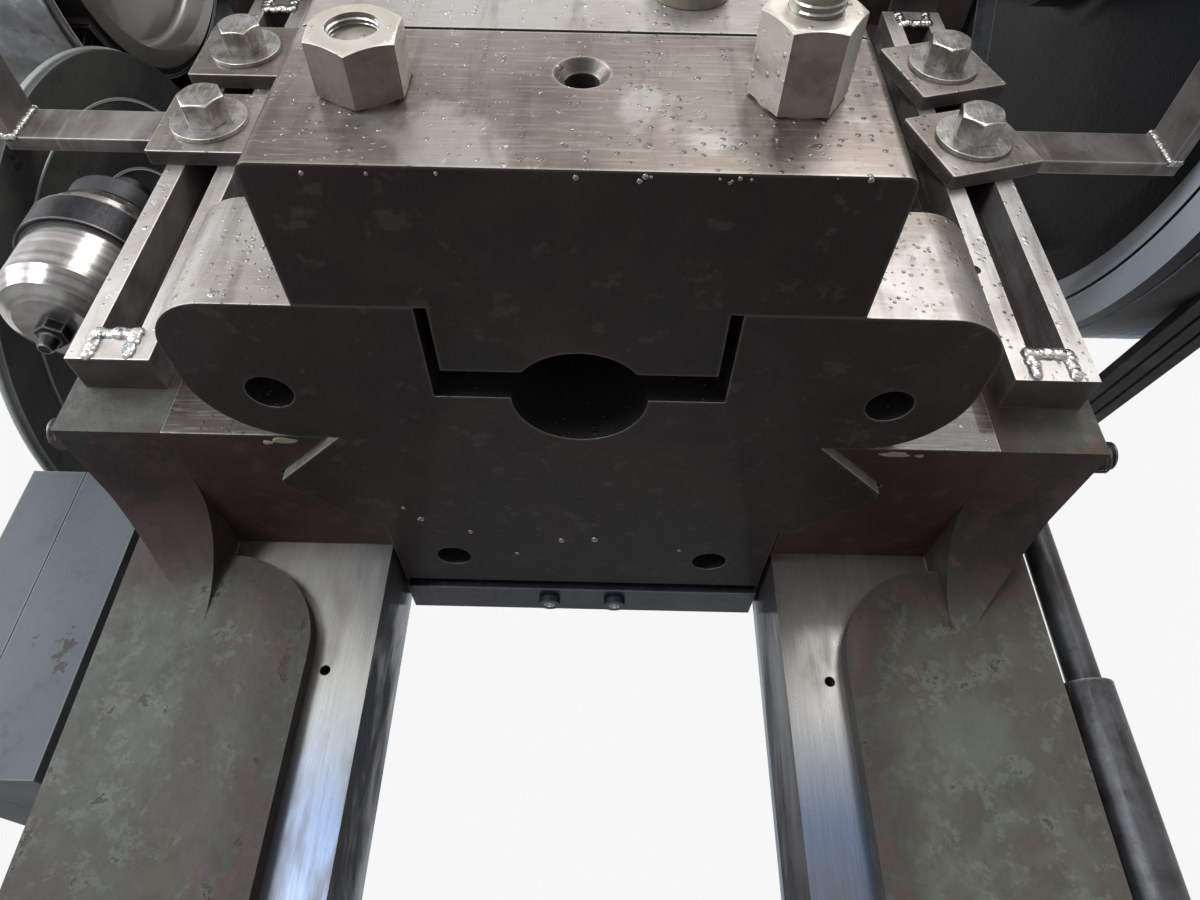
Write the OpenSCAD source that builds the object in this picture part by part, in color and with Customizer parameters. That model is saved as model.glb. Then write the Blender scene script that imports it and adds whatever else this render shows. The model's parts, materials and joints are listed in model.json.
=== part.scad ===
// Gap-frame stamping press with an open back, a V-guided ram and a shank clamp.
// X runs to the right, Y to the back and Z up; the origin is on the floor, midway between the anchor bolts.

/* [Press] */
// Height of the bed's top above the floor
bed_h = 800; // [740:10:860]
// Thickness of the bolster plate
bolster_t = 60; // [50:1:76]
// Gap from the bolster up to the raised ram
open_h = 330; // [300:5:350]
// Stroke of the ram
stroke = 50.8; // [38:0.2:52]
// Height of the crank axis above the raised ram's underside
crank_h = 600; // [596:1:640]
// Distance of the ram's axis in front of the anchor pattern's centre
ram_back = 50; // [30:5:70]

/* [Frame casting] */
// Width of the frame over its side walls
frame_w = 546; // [540:1:560]
// Thickness of the side walls
wall_t = 38; // [30:1:42]
// Thickness of the cheeks beside the gibs
cheek_t = 56; // [50:1:60]
// Width of the open gap between the columns
gap_w = 239; // [236:0.5:242]
// Width of the machined strips down the columns
strip_w = 33.5; // [30:0.5:38]
// Rise of the cast column faces over the machined strips
face_rise = 12; // [8:0.5:14]
// Rounding of the cast faces beside the cheeks
face_r = 59; // [30:1:60]
// Distance from the ram's axis back to the columns
throat_d = 160; // [156:1:164]
// Depth of the columns' front flange
column_d = 70; // [50:1:80]
// Inner reach of the columns' back flange
flange_in = 73; // [60:1:80]
// Thickness of the back flanges and crown walls
web_t = 35; // [28:1:40]
// Distance from the ram's axis to the frame's back
back_d = 430; // [410:5:440]
// Distance from the ram's axis to the bed's front
bed_front = 260; // [250:2:280]
// Thickness of the bed's top
bed_t = 90; // [70:2:110]
// Height of the bed's front apron
apron_h = 200; // [170:5:230]
// Radius of the drop hole through the bed
drop_r = 120; // [100:2:130]
// Radius of the cast fillet under the cheeks
fillet_r = 60; // [40:1:66]
// Radius of the fillet behind the bolster
bed_fillet_r = 30; // [20:1:34]
// Distance of the cheeks' front face behind the ram's axis
cheek_y = 44; // [42:1:46]
// Height of the cheeks' underside above the raised ram's underside
cheek_rise = 7; // [4:1:12]
// Height of the frame's top above the crank axis
top_rise = 180; // [174:1:200]
// Rounding of the head's back corner
head_r = 140; // [80:5:150]
// Thickness of the feet
foot_t = 35; // [25:1:45]
// Reach of the feet beyond the side walls
foot_out = 107; // [90:1:120]
// Length of the feet
foot_l = 760; // [740:10:800]
// Spacing of the anchor bolts, both ways
anchor_s = 640; // [630:2:650]
// Radius of the anchor bolt holes
anchor_r = 13; // [10:0.5:15]

/* [Bolster and rear plate] */
// Width of the bolster plate
bolster_w = 500; // [460:5:530]
// Radius of the bolster's centre hole
bolster_hole_r = 50; // [40:1:60]
// Spacing of the die holes across
die_hole_dx = 380; // [340:5:400]
// Spacing of the die holes front to back
die_hole_dy = 200; // [180:5:220]
// Radius of the die holes
die_hole_r = 8; // [6:0.5:10]
// Radius of the bolster bolts' shanks
bolster_bolt_r = 10; // [8:0.5:12]
// Width of the rear plate
rear_plate_w = 232; // [200:2:234]
// Thickness of the rear plate
rear_plate_t = 10; // [6:0.5:14]
// Spacing of the rear plate's screws
rear_screw_dx = 44; // [30:1:100]

/* [Ram] */
// Height of the ram
ram_h = 352; // [348:1:356]
// Width of the ram's front boss and the shank clamp
boss_w = 234; // [226:1:240]
// Distance from the ram's axis to the boss's front face
boss_front = 124; // [120:1:130]
// Distance from the ram's axis to the ears' front face
ear_front = 57; // [52:1:60]
// Distance from the ram's axis to the ears' back
ear_back = 35; // [30:1:38]
// Width over the ears
ear_w = 364; // [350:2:380]
// Height of the ears
ear_h = 68; // [50:1:80]
// Rounding of the ears' front corners
ear_r = 28; // [15:1:32]
// Distance from the axis to the tip of the V ridge
ridge_x = 165; // [160:1:168]
// Half width of the V ridge, and its depth
ridge_h = 42; // [40:1:43]
// Distance of the ridge's tip behind the axis
ridge_y = 79; // [77:1:80]
// Flat on the ridge's tip
ridge_flat = 3; // [2:0.5:6]
// Width of the ram's tail between the columns
tail_w = 232; // [220:1:234]
// Distance from the axis to the tail's back
tail_d = 193; // [180:1:194]
// Running gap between ridge and gib
guide_gap = 0.4; // [0.3:0.05:1]

/* [Shank clamp] */
// Diameter of the hole for the tool shank
shank_d = 63.5; // [50:0.5:66]
// Depth of the shank hole
shank_depth = 95; // [92:1:110]
// Height of the shank clamp
clamp_h = 89; // [80:1:92]
// Dark seam over the clamp
clamp_seam = 2; // [0.5:0.5:3]
// Width of the clamp's tongue
tongue_w = 124; // [110:1:130]
// Side gap between tongue and slot
tongue_side = 5.5; // [3:0.5:7]
// Gap behind the tongue's end
tongue_end = 18.5; // [10:0.5:22]
// Diameter of the clamp studs
stud_d = 19; // [14:0.5:20]
// Spacing of the clamp studs
stud_dx = 160; // [154:1:170]
// Height of the studs above the ram's underside
stud_z = 48; // [36:1:52]
// Width across the flats of the clamp nuts
nut_af = 32; // [28:1:36]
// Thickness of the clamp nuts
nut_t = 22; // [16:1:26]
// Extra reach of the right nut and stud
nut_extra = 10; // [4:1:14]
// Diameter of the set-screw hole in the clamp
set_hole_d = 13.7; // [10:0.1:16]
// Diameter of that hole's countersink
set_sink_d = 22; // [18:1:26]
// Height of the set-screw hole
set_z = 60; // [50:1:64]
// Spacing of the ear holes
ear_hole_dx = 288; // [280:1:296]
// Radius of the ear holes
ear_hole_r = 11; // [8:0.5:13]
// Spacing of the tail holes
tail_hole_dx = 160; // [140:2:180]
// Distance of the tail holes behind the axis
tail_hole_y = 160; // [140:1:170]
// Radius of the tail holes
tail_hole_r = 10.5; // [8:0.5:12]
// Depth of the tail holes
tail_hole_l = 60; // [40:1:80]
// Radius of the plug on the upper boss
plug_r = 17; // [12:0.5:20]

/* [Ball joint] */
// Height of the ball's centre above the ram's underside
ball_z = 300; // [298:1:302]
// Radius of the ball
ball_r = 45; // [40:0.5:46]
// Free room round the ball
ball_room = 7; // [6.5:0.1:8]
// Radius of the screw's neck
neck_r = 24; // [20:0.5:26]
// Radius of the adjusting screw
screw_r = 32; // [28:0.5:34]
// Thickness of the ball cap
ball_cap_t = 28; // [20:1:30]

/* [Crank drive] */
// Radius of the crankshaft's journals
journal_r = 45; // [40:0.5:48]
// Radius of the crankpin
pin_r = 57; // [52:0.5:60]
// Radius of the crank webs
web_r = 80; // [70:1:82]
// Width of the pitman
pitman_w = 100; // [90:1:104]
// Side gap beside the pitman
pitman_gap = 4; // [1:0.5:6]
// Radius of the pitman's big end
big_r = 95; // [85:1:100]
// Radius of the pitman's screw boss
screw_boss_r = 50; // [46:1:52]
// Distance from the axis to the bearings' inner ends
bearing_in = 112; // [111:0.5:114]
// Reach of the bearings beyond the side walls
bearing_reach = 27; // [23:1:29]
// Half height of the bearing housings
nose_half = 165; // [156:1:170]
// Wall thickness of the bearing bushings
bush_t = 9; // [6:0.5:12]
// Radius of the bearing caps
cap_r = 100; // [85:1:104]
// Thickness of the bearing caps' flanges
cap_t = 40; // [30:1:50]
// Radius of the cap bolts
cap_bolt_r = 12; // [9:0.5:13]
// Radial clearance of every running fit
run_gap = 0.05; // [0.02:0.01:0.09]

/* [Flywheel and clutch] */
// Radius of the flywheel
wheel_r = 400; // [370:5:420]
// Distance from the side wall to the flywheel's inner face
wheel_gap = 137; // [133:1:147]
// Width of the flywheel's rim
rim_w = 110; // [100:1:120]
// Thickness of the flywheel's rim
rim_t = 70; // [50:1:80]
// Width of the machined ring on the rim's side
ring_w = 32; // [20:1:40]
// Thickness of the flywheel's web
wheel_web_t = 30; // [20:1:36]
// Radius of the flywheel's hub
hub_r = 95; // [85:1:110]
// Wall thickness of the flywheel's bushing
wheel_bush_t = 8; // [5:0.5:12]
// Radius of the clutch sleeve
clutch_r = 95; // [85:1:98]
// Number of belts
belt_count = 3; // [1:1:4]
// Spacing of the belts
belt_pitch = 17; // [16:0.5:19]
// Width of a belt
belt_w = 13; // [10:0.5:14]
// Thickness of a belt
belt_t = 8; // [6:0.5:10]
// Radius of the motor sheave
sheave_r = 62; // [50:1:70]

/* [Brake] */
// Radius of the brake drum
drum_r = 165; // [140:1:168]
// Width of the brake drum
drum_w = 60; // [50:1:64]
// Distance from the side wall to the drum's inner face
drum_gap = 152; // [151:1:157]
// Thickness of the brake lining
lining_t = 6; // [4:0.5:8]
// Thickness of the brake band
band_t = 4; // [2:0.5:5]
// Radius of the brake guard
guard_r = 226; // [222:1:234]
// Thickness of sheet-metal guards
sheet_t = 2; // [1.5:0.5:3]

/* [Guards and fittings] */
// Distance from the side wall in to the guard rails' centres
rail_inset = 29; // [25:1:33]
// Width of a guard rail
rail_w = 44; // [40:1:48]
// Depth of a guard rail
rail_t = 23; // [16:1:26]
// Width of the rails' slot
rail_slot = 20.4; // [18:0.2:23]
// Height of the rails' lower end above the raised ram's underside
rail_rise = 36; // [30:1:60]
// Length of the guard rails
rail_l = 374; // [360:1:380]
// Height of the lower rail plates above the raised ram's underside
plate_rise = 229; // [220:1:240]
// Spacing of the rail plates
plate_dz = 86; // [70:1:96]
// Side of the square rail plates
plate_s = 64; // [56:1:66]
// Thickness of the square rail plates
plate_t = 10; // [6:0.5:12]
// Radius of the rail bolts
rail_bolt_r = 8; // [6:0.5:8.5]
// Height of the guard arms above the raised ram's underside
arm_rise = 241; // [234:1:260]
// Height of a guard arm's flat bar
arm_h = 34; // [26:1:40]
// Reach of the guard arms beyond the rails
arm_l = 131; // [110:1:134]
// Radius of the oil reservoir
tank_r = 38; // [30:1:38]
// Height of the oil reservoir
tank_h = 92; // [80:1:110]
// Radius of the round side shield
shield_r = 206; // [190:1:208]

/* [Electrical enclosure] */
// Height of the enclosure
box_h = 212; // [180:2:212]
// Length of the enclosure front to back
box_l = 260; // [220:5:270]
// Depth of the enclosure's body
box_d = 51; // [45:1:60]
// Depth of the enclosure's door
door_d = 38; // [20:1:40]
// Wall thickness of the enclosure
box_wall = 3; // [2:0.5:4]

/* [Motor] */
// Radius of the motor's ribbed body
motor_r = 105; // [95:1:110]
// Length of the motor's body
motor_l = 250; // [220:5:260]
// Radius of the motor's shaft
motor_shaft_r = 14; // [10:0.5:16]
// Depth of the motor's shaft below the crank axis
motor_drop = 230; // [200:5:260]
// Distance from the frame's back to the motor's shaft
motor_back = 140; // [130:2:160]
// Gap between the motor's shaft end and the flywheel's inner face
motor_gap = 20; // [15:1:30]
// Length of the motor's terminal box
terminal_l = 80; // [60:2:100]
// Height of the terminal box
terminal_h = 90; // [70:2:100]
// Reach of the terminal box beyond the motor's fins
terminal_out = 40; // [30:2:60]

/* [Foot control] */
// Radius of the trip rod
rod_r = 9.5; // [7:0.5:10]
// Radius of the tube round the rod's lower part
tube_r = 14.5; // [12:0.5:15.5]
// Distance from the side wall to the trip rod's axis
rod_gap = 19; // [18:0.5:22]
// Length of the treadle and trip lever arms
lever_l = 90; // [80:1:100]
// Width of the treadle's step
step_w = 340; // [300:5:360]
// Radius of the treadle's shaft
treadle_shaft_r = 16; // [12:0.5:18]

/* [Hidden] */
$fn = 96;

cast = "#7d8478";
oily = "#5a4a3c";
bare = "#a7a59f";
bright = "#c9ccd0";
bronze = "#a9803f";
black = "#26282a";
galvanised = "#b4babd";
blue_grey = "#8f9aa3";

// A hair of overlap where two solids of one piece are fused
hair = 0.5;
throw_r = stroke / 2;
ram_z = bed_h + bolster_t + open_h;
crank_z = ram_z + crank_h;
pin_z = crank_z + throw_r;
cheek_z = ram_z + cheek_rise;
top_z = crank_z + top_rise;
side_x = frame_w / 2;
wall_in = side_x - wall_t;
cheek_in = side_x - cheek_t;
column_in = gap_w / 2;
strip_out = column_in + strip_w;
face_y = throat_d - face_rise;
face_top = cheek_z - 16;
bearing_out = side_x + bearing_reach;
wheel_x = side_x + wheel_gap;
drum_x = side_x + drum_gap;
rail_x = side_x - rail_inset;
foot_mid = ram_back;
foot_x = side_x + foot_out;
gib_l = 400;
gib_top = cheek_z + gib_l;
nose_lo = crank_z - nose_half;
nose_hi = crank_z + nose_half;
nose_back = 225;
bush_r = journal_r + bush_t;
bolster_back = face_y - bed_fillet_r - 6;
bolster_front = bed_front - 20;
bolster_mid = (bolster_back - bolster_front) / 2;

// Places everything that is drawn from the ram's axis
module at_ram() {
    translate([0, -ram_back, 0]) children();
}

// A block between two corners
module block(x, y, z) {
    translate([x[0], y[0], z[0]]) cube([x[1] - x[0], y[1] - y[0], z[1] - z[0]]);
}

// The same shape on the right and on the left
module both() {
    children();
    mirror([1, 0, 0]) children();
}

// An outline in Y and Z, drawn out along X
module along_x(x0, x1) {
    translate([x0, 0, 0]) rotate([90, 0, 90]) linear_extrude(x1 - x0) children();
}

// An outline in X and Z, drawn out along Y
module along_y(y0, y1) {
    translate([0, y1, 0]) rotate([90, 0, 0]) linear_extrude(y1 - y0) children();
}

// A round bar along X
module bar_x(r, x0, x1, y, z) {
    translate([x0, y, z]) rotate([0, 90, 0]) cylinder(r = r, h = x1 - x0);
}

// A round bar along Y
module bar_y(r, y0, y1, x, z) {
    translate([x, y0, z]) rotate([-90, 0, 0]) cylinder(r = r, h = y1 - y0);
}

// A round bar along Z
module bar_z(r, z0, z1, x, y) {
    translate([x, y, z0]) cylinder(r = r, h = z1 - z0);
}

// The fillet in an inner corner, open towards sx and sy
module cove(x, y, r, sx, sy) {
    translate([x, y]) difference() {
        translate([sx > 0 ? -hair : -r, sy > 0 ? -hair : -r]) square(r + hair);
        translate([sx * r, sy * r]) circle(r);
    }
}

// What is cut off an outer corner to round it; sx and sy point to the corner
module nib(x, y, r, sx, sy) {
    translate([x, y]) difference() {
        translate([sx > 0 ? -r : -1, sy > 0 ? -r : -1]) square(r + 1);
        translate([-sx * r, -sy * r]) circle(r);
    }
}

// A rectangle with round corners about its centre
module round_rect(w, h, r) {
    square([w - 2 * r, h], center = true);
    square([w, h - 2 * r], center = true);
    for (sx = [-1, 1], sy = [-1, 1])
        translate([sx * (w / 2 - r), sy * (h / 2 - r)]) circle(r);
}

// A hexagon prism along Z with turned corners; af is the width across its flats
module hex_prism(af, t) {
    corner_r = af / 2 / cos(30);
    edge = corner_r - af / 2;
    intersection() {
        cylinder(r = corner_r, h = t, $fn = 6);
        rotate_extrude()
            polygon([[0, 0], [corner_r, 0], [corner_r, t - edge * 0.6], [af / 2 * 0.94, t], [0, t]]);
    }
}

// A hex bolt whose head sits on z = 0 and whose shank runs down
module hex_bolt(af, head, r, shank) {
    hex_prism(af, head);
    translate([0, 0, -shank]) cylinder(r = r, h = shank + hair);
}

// A socket screw whose head's top is on z = 0
module socket_screw(head_r, head_t, r, shank) {
    difference() {
        translate([0, 0, -head_t]) cylinder(r = head_r, h = head_t);
        translate([0, 0, -head_t * 0.6]) cylinder(r = head_r * 0.62, h = head_t, $fn = 6);
    }
    translate([0, 0, -head_t - shank]) cylinder(r = r, h = shank + hair);
}

// Side of the frame: leg, bed, column and head
module side_outline() {
    leg_front = bed_front - 60;
    foot_front = foot_l / 2 - foot_mid;
    difference() {
        union() {
            polygon([
                [-foot_front + 20, 0], [back_d, 0], [back_d, top_z], [cheek_y, top_z],
                [cheek_y, cheek_z], [throat_d, cheek_z], [throat_d, bed_h], [-bed_front, bed_h],
                [-bed_front, bed_h - apron_h * 0.75], [-leg_front, bed_h - apron_h - 40],
                [-leg_front, foot_t + 110], [-foot_front + 20, foot_t]
            ]);
            translate([0, nose_lo]) square([nose_back, 2 * nose_half]);
            cove(cheek_y, nose_lo, 24, -1, -1);
        }
        nib(back_d, top_z, head_r, 1, 1);
        nib(0, nose_lo, 15, -1, -1);
    }
}

// Bearing holes, bolt holes and gib seats of the casting
module frame_holes() {
    both() block([column_in - 1, cheek_in], [cheek_y - 1, throat_d], [cheek_z, gib_top]);
    bar_x(bush_r, -side_x - 60, side_x + 60, 0, crank_z);
    both() cap_bolt_places() bar_y(cap_bolt_r + 0.1, -1, cap_bolt_l - cap_t + 2, 0, 0);
    both() gib_bolt_places() bar_x(gib_bolt_r + 0.5, cheek_in - 1, side_x + 1, 0, 0);
    both() gib_adjuster_places() bar_x(gib_bolt_r + 0.1, cheek_in - 1, side_x + 1, 0, 0);
    both() rail_bolt_places() bar_y(rail_bolt_r + 0.1, cheek_y - 1, cheek_y + rail_bolt_in + 1, 0, 0);
    bar_x(treadle_shaft_r + run_gap, -side_x - 1, side_x + 1, treadle_y, treadle_z);
    bar_x(trip_pin_r + 0.02, side_x - trip_pin_in, side_x + 60, trip_pin_y, trip_z);
    bar_x(anchor_pin_r + 0.02, -side_x - 60, -side_x + anchor_pin_in, brake_anchor_y, crank_z);
    both() bar_y(strip_hole_r, throat_d - 1, throat_d + 20, strip_out - 8, cheek_z - 82);
    bar_z(drop_r, bed_h - bed_t - 50, bed_h + 1, 0, bolster_mid);
    bolster_bolt_places() bar_z(bolster_bolt_r + 0.1, bed_h - 46, bed_h + 1, 0, 0);
    for (sx = [-1, 1]) translate([sx * rear_screw_dx / 2, rear_plate_y, 0])
        bar_z(rear_screw_r + 0.1, cheek_z - 1, cheek_z + rear_screw_l, 0, 0);
}

module frame() {
    color(cast) at_ram() difference() {
        union() {
            both() along_x(wall_in, side_x) side_outline();
            // Front flanges of the columns, up to the crown
            both() block([column_in, side_x - 1], [throat_d, throat_d + column_d],
                [bed_h - bed_t, top_z - web_t]);
            // Back flanges
            both() block([side_x - flange_in, side_x - 1], [back_d - web_t, back_d - hair],
                [0, top_z - head_r]);
            // Cheeks that hold the gibs
            both() block([cheek_in, side_x - 1], [cheek_y, throat_d + 1], [cheek_z, top_z - web_t]);
            both() column_face();
            // Bearing housings
            both() along_x(bearing_in, bearing_out) difference() {
                translate([0, nose_lo]) square([nose_back, 2 * nose_half]);
                nib(0, nose_lo, 15, -1, -1);
            }
            // Cross web behind the ram, crown top and crown back
            block([-wall_in - 1, wall_in + 1], [cross_y, cross_y + web_t], [cheek_z, top_z - web_t / 2]);
            block([-wall_in - 1, wall_in + 1], [throat_d, back_d - head_r], [top_z - web_t, top_z]);
            block([-wall_in - 1, wall_in + 1], [back_d - web_t, back_d - hair], [crown_lo, top_z - head_r]);
            // Bed top, apron and rear rib
            block([-side_x + 1, side_x - 1], [-bed_front, throat_d + column_d], [bed_h - bed_t, bed_h]);
            along_y(-bed_front, -bed_front + web_t) difference() {
                translate([-side_x + 1, bed_h - apron_h * 0.75]) square([frame_w - 2, apron_h * 0.75 - 1]);
                translate([0, bed_h - apron_h * 0.75]) intersection() {
                    translate([0, -apron_r + apron_h * 0.3]) circle(apron_r);
                    translate([-wall_in, -1]) square([2 * wall_in, apron_h]);
                }
            }
            block([-wall_in - 1, wall_in + 1], [throat_d + hair, throat_d + web_t],
                [bed_h - apron_h, bed_h - 1]);
            // Low tie between the legs and front flanges of the legs
            block([-wall_in - 1, wall_in + 1], [back_d - web_t, back_d - hair], [foot_t + 60, foot_t + 260]);
            both() block([side_x - flange_in, side_x - 1], [-bed_front + 60, -bed_front + 60 + web_t],
                [foot_t, bed_h - bed_t]);
            // Bosses for the treadle's shaft
            both() bar_x(treadle_shaft_r + 14, wall_in - 12, wall_in + 1, treadle_y, treadle_z);
            both() foot();
        }
        frame_holes();
    }
}

// Cast face of the right column, proud of its machined strip, with the fillets above and below
module column_face() {
    along_y(face_y, throat_d + 1) {
        difference() {
            translate([strip_out, bed_h - 1]) square([side_x - strip_out, face_top - bed_h + 1]);
            nib(strip_out, face_top, face_r, -1, 1);
        }
        translate([cheek_in, face_top - 1]) square([cheek_t, cheek_z - face_top + 2]);
    }
    along_x(strip_out, side_x) cove(face_y, bed_h, bed_fillet_r, -1, 1);
    // Fillet under the cheek, run out towards the side
    intersection() {
        along_x(cheek_in, side_x) cove(face_y, cheek_z, fillet_r, -1, -1);
        along_y(cheek_y, throat_d) polygon([
            [cheek_in - 1, cheek_z + 1], [side_x, cheek_z + 1], [cheek_in - 1, cheek_z - fillet_r - 10]
        ]);
    }
}

// One foot with its gussets and anchor holes
module foot() {
    difference() {
        translate([(foot_x + wall_in - 40) / 2, foot_mid, 0]) linear_extrude(foot_t)
            round_rect(foot_x - wall_in + 40, foot_l, 30);
        for (sy = [-1, 1])
            bar_z(anchor_r, -1, foot_t + 1, anchor_s / 2, foot_mid + sy * anchor_s / 2);
    }
    for (y = [foot_mid - anchor_s / 2 + 60, foot_mid, foot_mid + anchor_s / 2 - 60])
        along_y(y - gusset_t / 2, y + gusset_t / 2) polygon([
            [side_x - 1, foot_t - 1], [foot_x - 12, foot_t - 1], [foot_x - 12, foot_t + 8],
            [side_x + 14, foot_t + 130], [side_x - 1, foot_t + 130]
        ]);
}
strip_hole_r = 3;
cross_y = tail_d + 4;
crown_lo = nose_lo - 60;
apron_r = 900;
gusset_t = 22;

module bolster_bolt_places() {
    bolt_in = 32;
    half_l = (bolster_back + bolster_front) / 2;
    for (sx = [-1, 1], sy = [-1, 1])
        translate([sx * (bolster_w / 2 - bolt_in), bolster_mid + sy * (half_l - bolt_in), 0]) children();
}
bolster_head_r = bolster_bolt_r * 1.5;
bolster_head_t = bolster_bolt_r * 2;

module bolster_plate() {
    top = bed_h + bolster_t;
    color(bare) at_ram() difference() {
        translate([0, bolster_mid, bed_h]) linear_extrude(bolster_t)
            round_rect(bolster_w, bolster_back + bolster_front, 6);
        bar_z(bolster_hole_r, bed_h - 1, top + 1, 0, 0);
        for (sx = [-1, 1], sy = [-1, 1])
            bar_z(die_hole_r, bed_h - 1, top + 1, sx * die_hole_dx / 2,
                bolster_mid + sy * die_hole_dy / 2);
        bolster_bolt_places() bar_z(bolster_bolt_r + 0.5, bed_h - 1, top, 0, 0);
        bolster_bolt_places() bar_z(bolster_head_r + 1, top - bolster_head_t - 4, top + 1, 0, 0);
    }
}

module bolster_bolts() {
    color(black) at_ram() bolster_bolt_places() translate([0, 0, bed_h + bolster_t - 4])
        socket_screw(bolster_head_r, bolster_head_t, bolster_bolt_r, bolster_t - bolster_head_t - 4 + 40);
}

rear_plate_y = cross_y + 18;
rear_screw_r = 4;
rear_screw_l = 24;

module rear_plate() {
    color(blue_grey) at_ram() difference() {
        block([-rear_plate_w / 2, rear_plate_w / 2], [cross_y + 2, cross_y + web_t - 2],
            [cheek_z - rear_plate_t, cheek_z]);
        for (sx = [-1, 1])
            bar_z(rear_screw_r + 0.3, cheek_z - rear_plate_t - 1, cheek_z + 1,
                sx * rear_screw_dx / 2, rear_plate_y);
    }
}

module rear_plate_screws() {
    color(bright) at_ram() for (sx = [-1, 1])
        translate([sx * rear_screw_dx / 2, rear_plate_y, cheek_z - rear_plate_t]) {
            difference() {
                translate([0, 0, -4]) cylinder(r = rear_screw_r * 1.8, h = 4);
                translate([0, 0, -5]) cylinder(r = rear_screw_r * 0.9, h = 3.5, $fn = 6);
            }
            translate([0, 0, -hair]) cylinder(r = rear_screw_r, h = rear_plate_t + rear_screw_l - 2);
        }
}

gib_bolt_r = 8;
gib_bolt_af = 24;
gib_bolt_in = 24;

module gib_bolt_places() {
    for (k = [0.15, 0.5, 0.85]) translate([0, ridge_y + 22, cheek_z + k * gib_l]) children();
}

module gib_adjuster_places() {
    for (k = [0.06, 0.68]) translate([0, ridge_y, cheek_z + k * gib_l]) children();
}

// Right gib; its V is the ram's ridge moved out by the running gap
module gib() {
    tip = ridge_x + guide_gap;
    gib_in = column_in + 0.5;
    difference() {
        translate([0, 0, cheek_z]) linear_extrude(gib_l) polygon([
            [cheek_in, cheek_y], [tip - (ridge_y - cheek_y), cheek_y], [tip, ridge_y],
            [tip - ridge_h - guide_gap, ridge_y + ridge_h + guide_gap],
            [gib_in, ridge_y + ridge_h + guide_gap], [gib_in, throat_d], [cheek_in, throat_d]
        ]);
        gib_bolt_places() bar_x(gib_bolt_r + 0.1, cheek_in - gib_bolt_in - 1, cheek_in + 1, 0, 0);
    }
}

module gib_left() {
    color(oily) at_ram() mirror([1, 0, 0]) gib();
}

module gib_right() {
    color(oily) at_ram() gib();
}

module gib_bolts() {
    color(black) at_ram() both() gib_bolt_places() translate([side_x, 0, 0]) rotate([0, 90, 0])
        hex_bolt(gib_bolt_af, 10, gib_bolt_r, cheek_t + gib_bolt_in);
}

// Set screws that press on the gibs, each with a lock nut on the cheek
module gib_adjusters() {
    color(black) at_ram() both() gib_adjuster_places() {
        bar_x(gib_bolt_r, cheek_in, side_x + 26, 0, 0);
        translate([side_x, 0, 0]) rotate([0, 90, 0]) hex_prism(gib_bolt_af, 12);
    }
}

cap_bolt_l = 100;
cap_bolt_z = nose_half - 30;

module cap_bolt_places() {
    for (x = [bearing_in + 36, bearing_out - 36], sz = [-1, 1])
        translate([x, 0, crank_z + sz * cap_bolt_z]) children();
}

// Right bearing cap with an oil cup on top
module bearing_cap() {
    translate([(bearing_in + bearing_out) / 2, -cap_t / 2, nose_hi - 1]) rotate_extrude()
        polygon([[0, 0], [6, 0], [6, 9], [11, 12], [11, 24], [8, 27], [0, 29]]);
    difference() {
        along_x(bearing_in, bearing_out) difference() {
            union() {
                intersection() {
                    translate([0, crank_z]) circle(cap_r);
                    translate([-cap_r, crank_z - cap_r]) square([cap_r, 2 * cap_r]);
                }
                translate([-cap_t, nose_lo]) square([cap_t, 2 * nose_half]);
            }
            nib(-cap_t, nose_lo, 12, -1, -1);
            nib(-cap_t, nose_hi, 12, -1, 1);
            translate([0, crank_z]) circle(bush_r);
        }
        cap_bolt_places() bar_y(cap_bolt_r + 0.5, -cap_t - 1, 1, 0, 0);
    }
}

module bearing_cap_left() {
    color(cast) at_ram() mirror([1, 0, 0]) bearing_cap();
}

module bearing_cap_right() {
    color(cast) at_ram() bearing_cap();
}

module bearing_cap_bolts() {
    color(black) at_ram() both() cap_bolt_places() translate([0, -cap_t, 0]) rotate([90, 0, 0])
        hex_bolt(cap_bolt_r * 3, cap_bolt_r * 1.3, cap_bolt_r, cap_bolt_l);
}

module bearing_bushings() {
    color(bronze) at_ram() both() difference() {
        bar_x(bush_r - 0.02, bearing_in, bearing_out, 0, crank_z);
        bar_x(journal_r + run_gap, bearing_in - 1, bearing_out + 1, 0, crank_z);
    }
}

rail_lo = ram_z + rail_rise;
rail_back = cheek_y;
rail_front = rail_back - rail_t;
rail_bolt_in = 30;
rail_bolt_af = 26;
washer_r = 24;
washer_t = 3;
plate_z = [plate_rise, plate_rise + plate_dz];

module rail_bolt_places() {
    for (z = plate_z) translate([rail_x, 0, ram_z + z]) children();
}

// Right guard rail: two bars joined by a web at each end
module guard_rail() {
    end_web = 18;
    along_y(rail_front, rail_back) translate([rail_x, rail_lo]) difference() {
        translate([-rail_w / 2, 0]) square([rail_w, rail_l]);
        translate([-rail_slot / 2, end_web]) square([rail_slot, rail_l - 2 * end_web]);
    }
}

module guard_rail_left() {
    color(bare) at_ram() mirror([1, 0, 0]) guard_rail();
}

// The right rail has a small notch filed in its inner edge
module guard_rail_right() {
    notch_r = 3.5;
    color(bare) at_ram() difference() {
        guard_rail();
        bar_y(notch_r, rail_front - 1, rail_back + 1, rail_x - rail_w / 2 - 0.6, rail_lo + 82);
    }
}

plate_turn = [0, 0, 17, 17];

// The four fixings: left upper, left lower, right upper, right lower
module fixing_places() {
    for (i = [0:3])
        translate([(i < 2 ? -1 : 1) * rail_x, rail_front, ram_z + plate_z[i % 2]])
            rotate([90, 0, 0]) rotate(plate_turn[i]) children();
}

module rail_plates() {
    color(bare) at_ram() fixing_places() linear_extrude(plate_t) difference() {
        round_rect(plate_s, plate_s, 2);
        circle(rail_bolt_r + 0.5);
    }
}

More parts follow.
